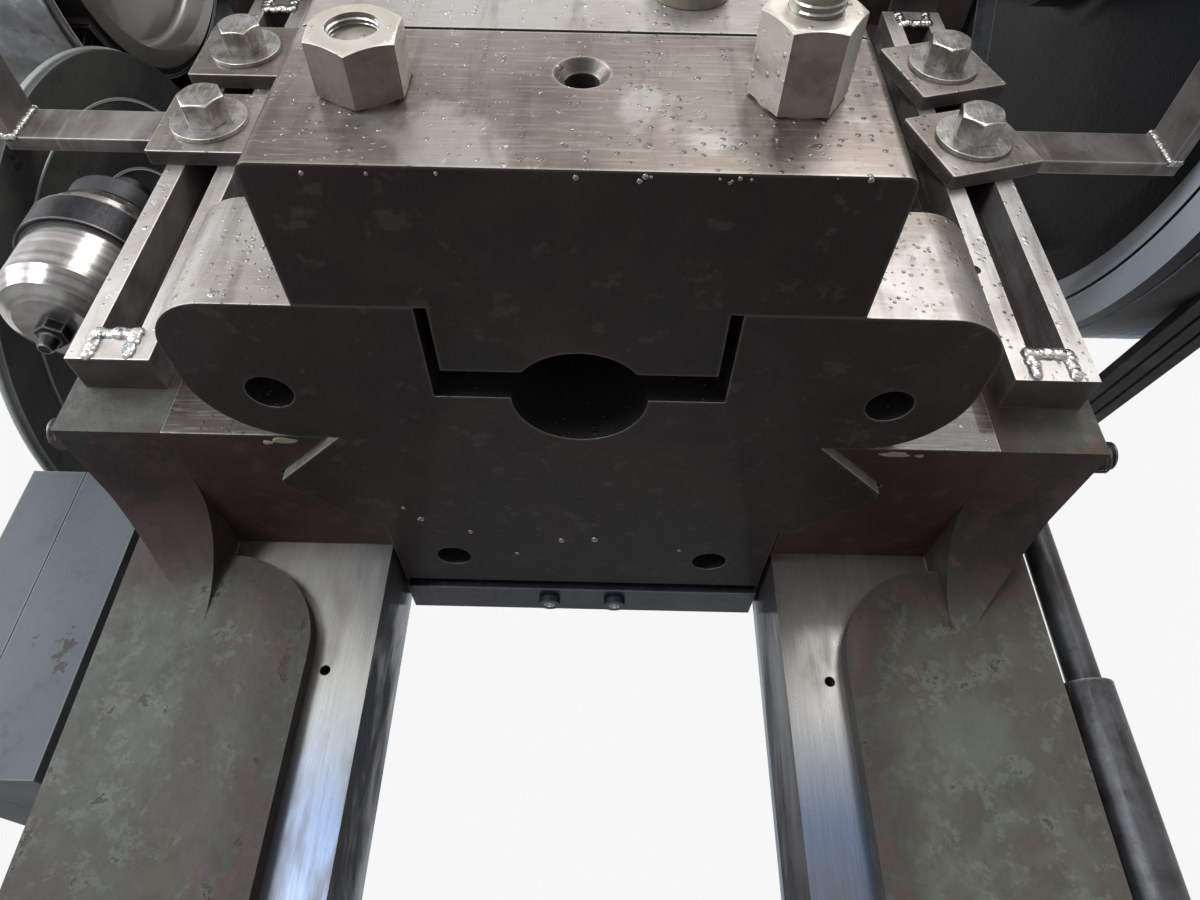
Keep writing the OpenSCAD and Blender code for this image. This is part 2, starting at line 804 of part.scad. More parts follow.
module rail_washers() {
    color(bare) at_ram() fixing_places() translate([0, 0, plate_t]) linear_extrude(washer_t) difference() {
        circle(washer_r);
        circle(rail_bolt_r + 0.5);
    }
}

module rail_bolts() {
    color(bare) at_ram() fixing_places() translate([0, 0, plate_t + washer_t])
        hex_bolt(rail_bolt_af, 16, rail_bolt_r, plate_t + washer_t + rail_t + rail_bolt_in);
}

// Guard arms welded to the rails, each with an end plate
module guard_arms() {
    arm_lo = ram_z + arm_rise;
    arm_t = 10;
    arm_end = rail_x + rail_w / 2 + arm_l;
    color(bare) at_ram() both() {
        block([rail_x + rail_w / 2, arm_end], [rail_back - arm_t, rail_back], [arm_lo, arm_lo + arm_h]);
        block([arm_end - 8, arm_end], [rail_back - 70, rail_back - arm_t + hair], [arm_lo, arm_lo + arm_h]);
    }
}

drum_out = drum_x + drum_w;
band_gap_deg = 22;
brake_anchor_y = drum_r + lining_t + band_t + 16;
anchor_pin_r = 12;
anchor_pin_in = 30;
band_bolt_r = 7;

// A ring round the drum, open at the bottom
module brake_ring(r0, r1, inset) {
    span = r1 * 1.5;
    along_x(-drum_out + inset, -drum_x - inset) translate([0, crank_z]) difference() {
        circle(r1);
        circle(r0);
        polygon([[0, 0], [span * sin(band_gap_deg), -span], [-span * sin(band_gap_deg), -span]]);
    }
}

module brake_lining() {
    color(oily) at_ram() brake_ring(drum_r + 0.3, drum_r + lining_t, 4);
}

// Steel band with its clamp lugs, clamp bolt and anchor eye
module brake_band() {
    r0 = drum_r + lining_t;
    r1 = r0 + band_t;
    lug_w = 26;
    x0 = -drum_out + 8;
    x1 = -drum_x - 8;
    bolt_y = r1 * sin(band_gap_deg) + 34;
    bolt_z = crank_z - (r1 + lug_w * 0.5) * cos(band_gap_deg) - 4;
    color(black) at_ram() {
        brake_ring(r0, r1, 2);
        for (s = [-1, 1]) translate([0, 0, crank_z]) rotate([s * (band_gap_deg * 0.95 + 3), 0, 0])
            block([x0, x1], [-5, 5], [-r1 - lug_w, -r0 - 1]);
        bar_y(band_bolt_r, -bolt_y, bolt_y, (x0 + x1) / 2, bolt_z);
        for (s = [-1, 1]) translate([(x0 + x1) / 2, s * bolt_y, bolt_z]) rotate([s * 90, 0, 0])
            hex_prism(band_bolt_r * 3, band_bolt_r * 1.4);
        difference() {
            bar_x(anchor_pin_r + 8, x0, x1, brake_anchor_y, crank_z);
            bar_x(anchor_pin_r + 0.1, x0 - 1, x1 + 1, brake_anchor_y, crank_z);
            bar_x(r1 - 1, x0 - 1, x1 + 1, 0, crank_z);
        }
    }
}

module brake_anchor() {
    color(black) at_ram() {
        bar_x(anchor_pin_r, -drum_out - 4, -side_x + anchor_pin_in - 1, brake_anchor_y, crank_z);
        bar_x(anchor_pin_r * 1.7, -bearing_out - 14, -bearing_out, brake_anchor_y, crank_z);
    }
}

guard_in = drum_x - 13;
guard_out = drum_out + 17;
guard_rod_r = 8;
guard_rod_at = [-15, 15, 45];

module guard_rod_places() {
    for (a = guard_rod_at)
        translate([0, (guard_r - 16) * cos(a), crank_z + (guard_r - 16) * sin(a)]) children();
}

// Galvanised drum over the brake, closed on its outer side
module brake_guard() {
    color(galvanised) at_ram() difference() {
        bar_x(guard_r, -guard_out, -guard_in, 0, crank_z);
        bar_x(guard_r - sheet_t, -guard_out + sheet_t, -guard_in + 1, 0, crank_z);
        guard_rod_places() bar_x(guard_rod_r + 0.2, -guard_out - 1, -guard_in, 0, 0);
    }
}

// Tie rods from the frame to the guard, each with a nut outside
module guard_rods() {
    color(black) at_ram() guard_rod_places() {
        bar_x(guard_rod_r, -guard_out - 14, -bearing_out, 0, 0);
        bar_x(guard_rod_r * 1.6, -bearing_out - 12, -bearing_out, 0, 0);
        bar_x(guard_rod_r * 1.5, -guard_out + sheet_t, -guard_out + sheet_t + 8, 0, 0);
        translate([-guard_out, 0, 0]) rotate([0, -90, 0]) hex_prism(24, 10);
    }
}

shield_x = side_x + 127;
shield_y = shield_r + 34;
shield_z = ram_z + 94 + shield_r;
shield_rim = 10;

// Round sheet-metal shield on the left, with a rolled rim
module side_shield() {
    color(cast) at_ram() {
        difference() {
            bar_x(shield_r, -shield_x - shield_rim, -shield_x, shield_y, shield_z);
            bar_x(shield_r - sheet_t, -shield_x - shield_rim - 1, -shield_x - sheet_t, shield_y, shield_z);
        }
    }
}

module shield_brackets() {
    for (dz = [-60, 60]) {
        block([-shield_x, -side_x], [shield_y + 50, shield_y + 56], [shield_z + dz, shield_z + dz + 30]);
        block([-side_x - 6, -side_x], [shield_y + 30, shield_y + 80], [shield_z + dz, shield_z + dz + 30]);
        block([-shield_x, -shield_x + 6], [shield_y + 30, shield_y + 80],
            [shield_z + dz, shield_z + dz + 30]);
    }
}

tank_x = side_x + tank_r + 8;
tank_y = 66;
tank_z = ram_z + 98;

// Oil reservoir with domed foot and collar
module oil_reservoir() {
    color(bronze) at_ram() translate([-tank_x, tank_y, tank_z]) rotate_extrude() polygon([
        [0, 0], [tank_r * 0.62, 0], [tank_r * 0.86, 5], [tank_r, 16], [tank_r, tank_h - 12],
        [tank_r * 0.9, tank_h - 4], [tank_r * 0.8, tank_h], [0, tank_h]
    ]);
}

module oil_reservoir_cap() {
    color(black) at_ram() translate([-tank_x, tank_y, tank_z + tank_h]) {
        cylinder(r = tank_r * 0.82, h = 14);
        translate([0, 0, 14 - hair]) cylinder(r = 9, h = 16);
        translate([0, 0, 28]) cylinder(r = 14, h = 8);
    }
}

// Clip round the reservoir and its plate on the cheek
module reservoir_bracket() {
    z = tank_z + tank_h * 0.55;
    difference() {
        union() {
            bar_z(tank_r + 4, z, z + 22, -tank_x, tank_y);
            block([-side_x - 4, -side_x], [tank_y - 24, tank_y + 24], [z - 10, z + 32]);
            block([-side_x - tank_r, -side_x - hair], [tank_y - 10, tank_y + 10], [z, z + 22]);
        }
        bar_z(tank_r + 0.2, z - 1, z + 23, -tank_x, tank_y);
    }
}

module left_brackets() {
    color(black) at_ram() {
        shield_brackets();
        reservoir_bracket();
    }
}

box_x = side_x + 39;
box_y = throat_d + 40;
box_z = ram_z - 130;
door_x = box_x + box_d + 0.5;
hinge_x = box_x + box_d;
hinge_y = box_y + box_l + 6;
hinge_pin_r = 2.5;
hinge_at = [0.2, 0.8];

// Body of the electrical enclosure, open to the left, with its mounting plate and standoffs
module control_enclosure() {
    z0 = box_z;
    z1 = box_z + box_h;
    color(blue_grey) at_ram() {
        difference() {
            block([-box_x - box_d, -box_x], [box_y, box_y + box_l], [z0, z1]);
            block([-box_x - box_d - 1, -box_x - box_wall], [box_y + box_wall, box_y + box_l - box_wall],
                [z0 + box_wall, z1 - box_wall]);
        }
        for (y = [box_y + 20, box_y + box_l - 70], z = [z0 + 20, z1 - 50])
            block([-box_x - hair, -side_x], [y, y + 30], [z, z + 30]);
        block([-box_x - box_wall - 4, -box_x - box_wall + hair], [box_y + 20, box_y + box_l - 20],
            [z0 + 20, z1 - 20]);
        for (k = hinge_at) {
            z = z0 + k * box_h;
            for (s = [-1, 1]) difference() {
                union() {
                    bar_z(5, z + s * 14 - 6, z + s * 14 + 6, -hinge_x, hinge_y);
                    block([-hinge_x, -hinge_x + 10], [box_y + box_l - hair, hinge_y],
                        [z + s * 14 - 6, z + s * 14 + 6]);
                }
                bar_z(hinge_pin_r + 0.02, z + s * 14 - 7, z + s * 14 + 7, -hinge_x, hinge_y);
            }
        }
    }
}

module enclosure_pins() {
    color(bright) at_ram() for (k = hinge_at)
        bar_z(hinge_pin_r, box_z + k * box_h - 22, box_z + k * box_h + 22, -hinge_x, hinge_y);
}

// Door with a returned edge and a quarter-turn knob
module enclosure_door() {
    z0 = box_z;
    z1 = box_z + box_h;
    color(blue_grey) at_ram() {
        difference() {
            block([-door_x - door_d, -door_x], [box_y, box_y + box_l], [z0, z1]);
            block([-door_x - door_d + box_wall, -door_x + 1], [box_y + box_wall, box_y + box_l - box_wall],
                [z0 + box_wall, z1 - box_wall]);
        }
        bar_x(13, -door_x - door_d - 8, -door_x - door_d + hair, box_y + 24, (z0 + z1) / 2);
        block([-door_x - door_d - 16, -door_x - door_d - 8 + hair], [box_y + 19, box_y + 29],
            [(z0 + z1) / 2 - 12, (z0 + z1) / 2 + 12]);
        for (k = hinge_at) {
            z = z0 + k * box_h;
            difference() {
                union() {
                    bar_z(5, z - 7.5, z + 7.5, -hinge_x, hinge_y);
                    block([-door_x - 10, -hinge_x], [box_y + box_l - hair, hinge_y], [z - 7.5, z + 7.5]);
                }
                bar_z(hinge_pin_r + run_gap, z - 9, z + 9, -hinge_x, hinge_y);
            }
        }
    }
}

motor_y = back_d + motor_back;
motor_z = crank_z - motor_drop;
motor_x1 = wheel_x - motor_gap;
motor_x0 = motor_x1 - motor_l;
motor_foot_z = motor_z - motor_r - 15;

// Ribbed motor with a slotted fan cowl, end bell, feet, terminal box and lifting eye
module motor() {
    fin_count = 28;
    slot_count = 12;
    body_r = motor_r - 12;
    cowl_r = motor_r - 4;
    cowl_l = 45;
    eye_x = motor_x0 + motor_l / 2;
    terminal_x = motor_x0 + cowl_l + 25;
    terminal_y = motor_y + motor_r + terminal_out;
    color(blue_grey) at_ram() difference() {
        union() {
            along_x(motor_x0 + cowl_l - 5, motor_x1 - 30) translate([motor_y, motor_z]) {
                circle(body_r);
                for (i = [0:fin_count - 1]) rotate(i * 360 / fin_count)
                    translate([body_r - 2, -2]) square([14, 4]);
            }
            turned_x(motor_y, motor_z) polygon([
                [0, motor_x0], [cowl_r * 0.84, motor_x0], [cowl_r, motor_x0 + cowl_r * 0.16],
                [cowl_r, motor_x0 + cowl_l], [0, motor_x0 + cowl_l]
            ]);
            bar_x(motor_r - 6, motor_x1 - 35, motor_x1 - 8, motor_y, motor_z);
            bar_x(36, motor_x1 - 10, motor_x1, motor_y, motor_z);
            for (x = [motor_x0 + 60, motor_x1 - 90])
                block([x, x + 40], [motor_y - 85, motor_y + 85], [motor_foot_z, motor_z - motor_r * 0.6]);
            // Terminal box with its lid and cable gland
            block([terminal_x, terminal_x + terminal_l], [motor_y + motor_r - 20, terminal_y],
                [motor_z - terminal_h / 2, motor_z + terminal_h / 2]);
            block([terminal_x - 3, terminal_x + terminal_l + 3], [terminal_y - hair, terminal_y + 6],
                [motor_z - terminal_h / 2 - 3, motor_z + terminal_h / 2 + 3]);
            translate([terminal_x + terminal_l / 2, terminal_y - 20, motor_z - terminal_h / 2 - 14])
                hex_prism(28, 14 + hair);
            // Lifting eye
            bar_z(8, motor_z + body_r - 3, motor_z + motor_r + 4, eye_x, motor_y);
            translate([eye_x, motor_y, motor_z + motor_r + 14]) rotate([90, 0, 0])
                rotate_extrude() translate([14, 0]) circle(5);
        }
        bar_x(motor_shaft_r + run_gap, motor_x1 - 60, motor_x1 + 1, motor_y, motor_z);
        for (i = [0:slot_count - 1]) translate([0, motor_y, motor_z]) rotate([i * 360 / slot_count, 0, 0])
            block([motor_x0 - 1, motor_x0 + 4], [cowl_r * 0.24, cowl_r * 0.74], [-3, 3]);
    }
}

// Shelf on the frame's back that carries the motor
module motor_bracket() {
    shelf_z = motor_foot_z;
    shelf_back = motor_y + 110;
    x0 = side_x - flange_in;
    rib_t = 14;
    color(cast) at_ram() {
        block([x0, motor_x1 - 10], [back_d, shelf_back], [shelf_z - rib_t, shelf_z]);
        block([x0, side_x], [back_d, back_d + rib_t], [shelf_z - 150, shelf_z + 40]);
        for (x = [x0 + 4, side_x - 20]) along_x(x, x + rib_t)
            polygon([[back_d + 10, shelf_z - 10], [back_d + 10, shelf_z - 145], [back_d + 26, shelf_z - 145],
                [shelf_back - 20, shelf_z - 26], [shelf_back - 20, shelf_z - 10]]);
    }
}

belt_seat = 9;
belt_big = wheel_r - belt_seat + 0.4;
belt_small = sheave_r - belt_seat + 0.4;
belt_dy = motor_y;
belt_dz = motor_z - crank_z;
belt_run = sqrt(belt_dy * belt_dy + belt_dz * belt_dz);
belt_first = wheel_x + rim_w - 14;

// Outline of a belt's inner or outer edge round both wheels; its straight runs cut just inside the circles
module belt_outline(grow) {
    run_in = 0.15;
    r1 = belt_big + grow - run_in;
    r2 = belt_small + grow - run_in;
    lean = acos((r1 - r2) / belt_run);
    translate([0, crank_z]) rotate(atan2(belt_dz, belt_dy)) {
        circle(r1 + run_in);
        translate([belt_run, 0]) circle(r2 + run_in);
        polygon([
            [r1 * cos(lean), r1 * sin(lean)], [belt_run + r2 * cos(lean), r2 * sin(lean)],
            [belt_run + r2 * cos(lean), -r2 * sin(lean)], [r1 * cos(lean), -r1 * sin(lean)]
        ]);
    }
}

module v_belts() {
    color(black) at_ram() for (i = [0:belt_count - 1])
        along_x(belt_first - i * belt_pitch - belt_w / 2, belt_first - i * belt_pitch + belt_w / 2)
            difference() {
                belt_outline(belt_t);
                belt_outline(0);
            }
}

// V grooves of a sheave or rim of radius r
module belt_grooves(r) {
    for (i = [0:belt_count - 1]) {
        x = belt_first - i * belt_pitch;
        polygon([
            [r + 1, x - belt_w / 2 - 0.8], [r + 1, x + belt_w / 2 + 0.8],
            [r - belt_seat, x + belt_w / 2 + 0.4], [r - belt_seat, x - belt_w / 2 - 0.4]
        ]);
    }
}

// A revolved outline about the X axis; the outline holds radius and X
module turned_x(y, z) {
    translate([0, y, z]) rotate([0, 90, 0]) rotate_extrude() children();
}

module motor_sheave() {
    x1 = wheel_x + rim_w;
    x0 = belt_first - belt_count * belt_pitch + 4;
    color(black) at_ram() {
        turned_x(motor_y, motor_z) difference() {
            translate([0, x0]) square([sheave_r, x1 - x0]);
            belt_grooves(sheave_r);
        }
        bar_x(motor_shaft_r, motor_x1 - 55, x0 + hair, motor_y, motor_z);
    }
}

wheel_web_x = wheel_x + rim_w * 0.42;
wheel_out = wheel_x + rim_w;
hub_in = wheel_x - 4;
hub_out = wheel_out + 20;
wheel_bush_r = journal_r + wheel_bush_t;

module flywheel() {
    rim_in = wheel_r - rim_t;
    color(black) at_ram() turned_x(0, crank_z) difference() {
        union() {
            translate([wheel_bush_r, hub_in]) square([hub_r - wheel_bush_r, hub_out - hub_in]);
            translate([hub_r - 1, wheel_web_x]) square([rim_in - hub_r + 2, wheel_web_t]);
            translate([rim_in, wheel_x + 3]) square([rim_t, rim_w - 3]);
            translate([wheel_r - ring_w, wheel_x]) square([ring_w, 10]);
            cove(rim_in, wheel_web_x, 18, -1, -1);
            cove(rim_in, wheel_web_x + wheel_web_t, 18, -1, 1);
            cove(hub_r, wheel_web_x, 18, 1, -1);
            cove(hub_r, wheel_web_x + wheel_web_t, 18, 1, 1);
        }
        // Turned groove near the rim's inner edge
        translate([wheel_r - 2, wheel_x + 12]) square([3, 4]);
        belt_grooves(wheel_r);
    }
}

module flywheel_bushing() {
    color(bronze) at_ram() difference() {
        bar_x(wheel_bush_r - 0.02, hub_in, hub_out, 0, crank_z);
        bar_x(journal_r + run_gap, hub_in - 1, hub_out + 1, 0, crank_z);
    }
}

// Half of the ram's section, seen from below
module ram_half_section() {
    x_in = ridge_x - ridge_h;
    tip = ridge_x - ridge_flat;
    polygon([
        [-1, -ear_front], [boss_w / 2, -ear_front], [boss_w / 2, ridge_y - ridge_h - 6],
        [x_in, ridge_y - ridge_h],
        [tip, ridge_y - ridge_flat], [tip, ridge_y + ridge_flat], [x_in, ridge_y + ridge_h],
        [tail_w / 2, ridge_y + ridge_h], [tail_w / 2, tail_d], [-1, tail_d]
    ]);
}

// Plan of the ears, with rounder corners at the back
module ear_outline() {
    back_r = (ear_front + ear_back) / 2 - 0.5;
    difference() {
        translate([-ear_w / 2, -ear_front]) square([ear_w, ear_front + ear_back]);
        for (s = [-1, 1]) {
            nib(s * ear_w / 2, -ear_front, ear_r, s, -1);
            nib(s * ear_w / 2, ear_back, back_r, s, 1);
        }
    }
}

pocket_x = ball_r + ball_room + 13;
pocket_front = ball_r + throw_r + 3;
pocket_back = ball_r + 3;
seat_lo = ball_z - 75;
shank_r = shank_d / 2;
stud_r = stud_d / 2;
stud_in = 40;
boss_lo = clamp_h + clamp_seam;
ball_screw_r = 8;

module ball_screw_places() {
    for (sx = [-1, 1], y = [-boss_front + 22, pocket_back + 24])
        translate([sx * (pocket_x + 18), y, 0]) children();
}

// Ram casting with its V ridges, ears, front boss, tongue slot and ball pocket
module ram() {
    color(oily) at_ram() translate([0, 0, ram_z]) difference() {
        union() {
            both() linear_extrude(ram_h) ram_half_section();
            linear_extrude(ear_h) ear_outline();
            translate([0, 0, boss_lo]) linear_extrude(ram_h - boss_lo) difference() {
                translate([-boss_w / 2, -boss_front]) square([boss_w, boss_front - ear_front + 1]);
                nib(-boss_w / 2, -boss_front, 6, -1, -1);
                nib(boss_w / 2, -boss_front, 6, 1, -1);
            }
        }
        // Slot for the clamp's tongue and hole for the tool shank
        block([-tongue_w / 2 - tongue_side, tongue_w / 2 + tongue_side], [-ear_front - 1, 0], [-1, boss_lo]);
        bar_z(shank_r, -1, shank_depth, 0, 0);
        for (sx = [-1, 1]) {
            bar_z(ear_hole_r, -1, ear_h + 1, sx * ear_hole_dx / 2, 0);
            bar_z(tail_hole_r, -1, tail_hole_l, sx * tail_hole_dx / 2, tail_hole_y);
            bar_y(stud_r + 0.1, -ear_front - 1, -ear_front + stud_in, sx * stud_dx / 2, stud_z);
        }
        // Pocket for the ball and its seat
        block([-pocket_x, pocket_x], [-pocket_front, pocket_back], [seat_lo, ram_h + 1]);
        ball_screw_places() bar_z(ball_screw_r + 0.1, ram_h - 30, ram_h + 1, 0, 0);
        bar_y(plug_r * 0.6 + 0.2, -boss_front - 1, -boss_front + 16, plug_x, plug_z);
    }
}
plug_x = 44;
plug_z = 125;

module shank_clamp() {
    color(bare) at_ram() translate([0, 0, ram_z]) difference() {
        union() {
            linear_extrude(clamp_h) difference() {
                translate([-boss_w / 2, -boss_front]) square([boss_w, boss_front - ear_front]);
                nib(-boss_w / 2, -boss_front, 5, -1, -1);
                nib(boss_w / 2, -boss_front, 5, 1, -1);
            }
            block([-tongue_w / 2, tongue_w / 2], [-ear_front - 1, -tongue_end], [0, clamp_h]);
        }
        bar_z(shank_r, -1, clamp_h + 1, 0, 0);
        for (sx = [-1, 1])
            bar_y(stud_r + 0.5, -boss_front - 1, -ear_front + 1, sx * stud_dx / 2, stud_z);
        bar_y(set_hole_d / 2, -boss_front - 1, 0, 0, set_z);
        translate([0, -boss_front - 0.01, set_z]) rotate([-90, 0, 0])
            cylinder(r1 = set_sink_d / 2, r2 = set_hole_d / 2, h = (set_sink_d - set_hole_d) / 2);
    }
}

module clamp_studs() {
    color(bare) at_ram() translate([0, 0, ram_z]) for (sx = [-1, 1])
        bar_y(stud_r, -boss_front - nut_t + (sx < 0 ? 5 : -nut_extra - 8), -ear_front + stud_in,
            sx * stud_dx / 2, stud_z);
}

// A clamp nut with a washer face, its axis along Y
module clamp_nut(t, turn) {
    rotate([90, 0, 0]) rotate(turn) difference() {
        union() {
            cylinder(r = nut_af / 2 * 0.98, h = 1.5);
            translate([0, 0, 1]) hex_prism(nut_af, t - 1);
        }
        translate([0, 0, -1]) cylinder(r = stud_r + 0.1, h = t + 2);
    }
}

module clamp_nut_left() {
    color(bare) at_ram() translate([-stud_dx / 2, -boss_front, ram_z + stud_z]) clamp_nut(nut_t, 30);
}

module clamp_nut_right() {
    color(bare) at_ram() translate([stud_dx / 2, -boss_front, ram_z + stud_z])
        clamp_nut(nut_t + nut_extra, 0);
}

module ram_plug() {
    color(bare) at_ram() translate([plug_x, -boss_front, ram_z + plug_z]) rotate([90, 0, 0]) {
        translate([0, 0, -14]) cylinder(r = plug_r * 0.6, h = 14 + hair);
        difference() {
            cylinder(r = plug_r, h = 12);
            translate([0, 0, 5]) cylinder(r = plug_r * 0.5, h = 8, $fn = 6);
        }
    }
}

// Seat under the ball: a trough along Y
module ball_seat() {
    color(bronze) at_ram() translate([0, 0, ram_z]) difference() {
        block([-pocket_x, pocket_x], [-pocket_front, pocket_back], [seat_lo, ball_z - 12]);
        bar_y(ball_r + ball_room, -pocket_front - 1, pocket_back + 1, 0, ball_z);
    }
}

// Plate that keeps the ball in, with a slot for the neck
module ball_cap() {
    half = neck_r + 3;
    color(cast) at_ram() translate([0, 0, ram_z + ram_h]) difference() {
        linear_extrude(ball_cap_t) difference() {
            translate([0, (pocket_back - boss_front) / 2 + 21]) round_rect(2 * pocket_x + 72,
                boss_front + pocket_back + 42, 14);
            circle(half);
            translate([-half, -throw_r - 2]) square([2 * half, throw_r + 2]);
            translate([0, -throw_r - 2]) circle(half);
        }
        ball_screw_places() bar_z(ball_screw_r + 0.5, -1, ball_cap_t + 1, 0, 0);
    }
}

module ball_cap_screws() {
    color(black) at_ram() ball_screw_places() translate([0, 0, ram_z + ram_h + ball_cap_t])
        hex_bolt(ball_screw_r * 3, 10, ball_screw_r, ball_cap_t + 26);
}

web_in = pitman_w / 2 + pitman_gap;
web_out = bearing_in - 2;
wheel_end = hub_out + 2;
nut_end = wheel_end + 14 + 34;

// Crankshaft with two webs, an offset pin and a threaded right end
module crankshaft() {
    color(bright) at_ram() {
        both() along_x(web_in, web_out) {
            translate([0, crank_z]) circle(web_r);
            translate([0, pin_z]) circle(web_r);
            translate([-web_r, crank_z]) square([2 * web_r, throw_r]);
        }
        bar_x(pin_r, -web_in - hair, web_in + hair, 0, pin_z);
        bar_x(journal_r, -drum_out - 10, -web_out + hair, 0, crank_z);
        bar_x(journal_r, web_out - hair, wheel_end, 0, crank_z);
        bar_x(journal_r * 0.8, wheel_end - hair, nut_end, 0, crank_z);
    }
}

sleeve_in = bearing_out + 6;
sleeve_out = hub_in - 2;

// Clutch sleeve keyed to the shaft, with a trip notch and a pin boss
module clutch_sleeve() {
    color(bare) at_ram() difference() {
        bar_x(clutch_r, sleeve_in, sleeve_out, 0, crank_z);
        bar_x(journal_r + 0.02, sleeve_in - 1, sleeve_out + 1, 0, crank_z);
        difference() {
            bar_x(clutch_r + 1, sleeve_in + 34, sleeve_in + 48, 0, crank_z);
            bar_x(clutch_r - 12, sleeve_in + 33, sleeve_in + 49, 0, crank_z);
        }
    }
}

module brake_drum() {
    rim = 16;
    web_at = -drum_out + 22;
    color(bare) at_ram() turned_x(0, crank_z) {
        translate([journal_r + 0.02, -drum_out]) square([28, drum_w + 6]);
        translate([journal_r + 10, web_at]) square([drum_r - journal_r - 14, 14]);
        translate([drum_r - rim, -drum_out]) square([rim, drum_w]);
        cove(drum_r - rim, web_at, 8, -1, -1);
        cove(drum_r - rim, web_at + 14, 8, -1, 1);
    }
}

module shaft_end_nut() {
    color(black) at_ram() difference() {
        union() {
            bar_x(journal_r + 22, wheel_end, wheel_end + 14, 0, crank_z);
            translate([wheel_end + 14 - hair, 0, crank_z]) rotate([0, 90, 0]) hex_prism(96, 30);
        }
        bar_x(journal_r * 0.8 + 0.1, wheel_end - 1, wheel_end + 60, 0, crank_z);
    }
}

lug_y = 118;
lug_t = 42;
pitman_bolt_r = 11;
pitman_lo = ram_z + ram_h + ball_cap_t + 50;
screw_top = pin_z - pin_r - 34;

// Outline of a big-end half; up is 1 for the cap and -1 for the pitman
module big_end_half(up) {
    lug_end = lug_y + 24;
    intersection() {
        union() {
            circle(big_r);
            translate([-lug_end, up > 0 ? 0 : -lug_t]) square([2 * lug_end, lug_t]);
        }
        translate([-lug_end, up > 0 ? 0 : -lug_end]) square([2 * lug_end, lug_end]);
    }
}

module pitman_bolt_places() {
    for (sx = [-1, 1], sy = [-1, 1]) translate([sx * pitman_w * 0.26, sy * lug_y, 0]) children();
}

// Pitman with the lower half of the big end and the screw boss
module pitman() {
    color(cast) at_ram() difference() {
        union() {
            along_x(-pitman_w / 2, pitman_w / 2) translate([0, pin_z]) big_end_half(-1);
            along_x(-pitman_w * 0.36, pitman_w * 0.36) polygon([
                [-big_r * 0.9, pin_z - big_r * 0.35], [4 - screw_boss_r, pitman_lo + 40],
                [4 - screw_boss_r, pitman_lo + 4], [screw_boss_r - 4, pitman_lo + 4],
                [screw_boss_r - 4, pitman_lo + 40], [big_r * 0.9, pin_z - big_r * 0.35]
            ]);
            bar_z(screw_boss_r, pitman_lo, pin_z - big_r * 0.7, 0, 0);
        }
        bar_x(pin_r + run_gap, -pitman_w, pitman_w, 0, pin_z);
        bar_z(screw_r + 0.05, pitman_lo - 1, screw_top + 2, 0, 0);
        pitman_bolt_places() bar_z(pitman_bolt_r + 0.1, pin_z - lug_t - 1, pin_z + 1, 0, 0);
    }
}

module pitman_cap() {
    color(cast) at_ram() difference() {
        along_x(-pitman_w / 2, pitman_w / 2) translate([0, pin_z]) big_end_half(1);
        bar_x(pin_r + run_gap, -pitman_w, pitman_w, 0, pin_z);
        pitman_bolt_places() bar_z(pitman_bolt_r + 0.1, pin_z - 1, pin_z + lug_t + 1, 0, 0);
    }
}

// Bolts through both lugs, each with a nut below
module pitman_cap_bolts() {
    color(black) at_ram() pitman_bolt_places() {
        translate([0, 0, pin_z + lug_t]) hex_bolt(pitman_bolt_r * 3, 14, pitman_bolt_r, 2 * lug_t + 26);
        translate([0, 0, pin_z - lug_t - 18]) cylinder(r = pitman_bolt_r * 1.73, h = 18, $fn = 6);
    }
}

// Adjusting screw with its ball, neck, spanner collar and lock nut
module adjusting_screw() {
    collar_lo = ram_z + ram_h + ball_cap_t + 12;
    color(bright) at_ram() {
        translate([0, 0, ram_z + ball_z]) sphere(ball_r);
        bar_z(neck_r, ram_z + ball_z, collar_lo + 1, 0, 0);
        translate([0, 0, collar_lo]) hex_prism(2 * screw_r * 1.3, 16);
        bar_z(screw_r, collar_lo + 8, screw_top, 0, 0);
        translate([0, 0, pitman_lo - 20]) cylinder(r = screw_r * 1.6, h = 20, $fn = 8);
    }
}

rod_x = side_x + rod_gap;
rod_y = throat_d;
treadle_y = rod_y + lever_l;
treadle_z = 160;
trip_z = nose_lo - 65;
trip_pin_y = rod_y + lever_l;
trip_pin_r = 12;
trip_pin_in = 25;
eye_r = 18;
eye_half = 15;
eye_hole_r = rod_r + 2.5;
lever_in = rod_x - eye_half;
lever_out = rod_x + eye_half;
collar_r = rod_r + 6;
trip_plate_out = sleeve_in + 16;

// Treadle: shaft, two arms, a step with ribs and the right-hand lever
module treadle() {
    arm_x = step_w / 2 - 40;
    step_front = -bed_front - 170;
    step_back = -bed_front - 70;
    color(cast) at_ram() {
        bar_x(treadle_shaft_r, -side_x - 8, lever_out, treadle_y, treadle_z);
        both() {
            bar_x(treadle_shaft_r + 12, arm_x - 14, arm_x + 14, treadle_y, treadle_z);
            block([arm_x - 9, arm_x + 9], [step_front + 20, treadle_y], [treadle_z - 20, treadle_z + 16]);
        }
        translate([0, (step_front + step_back) / 2, treadle_z + 16 - hair]) linear_extrude(10)
            round_rect(step_w, step_back - step_front, 14);
        for (i = [0:5]) translate([0, step_front + 14 + i * 14, treadle_z + 24])
            block([-step_w / 2 + 16, step_w / 2 - 16], [0, 4], [0, 5]);
        // Lever to the trip rod
        difference() {
            union() {
                bar_x(treadle_shaft_r + 10, side_x + 1, lever_out, treadle_y, treadle_z);
                block([lever_in, lever_out], [rod_y, treadle_y], [treadle_z - 10, treadle_z + 10]);
                bar_x(eye_r, lever_in, lever_out, rod_y, treadle_z);
            }
            bar_z(eye_hole_r, treadle_z - 40, treadle_z + 40, rod_x, rod_y);
        }
    }
}

guide_z = ram_z + 90;
spring_lo = guide_z + 16;
spring_hi = spring_lo + 84;

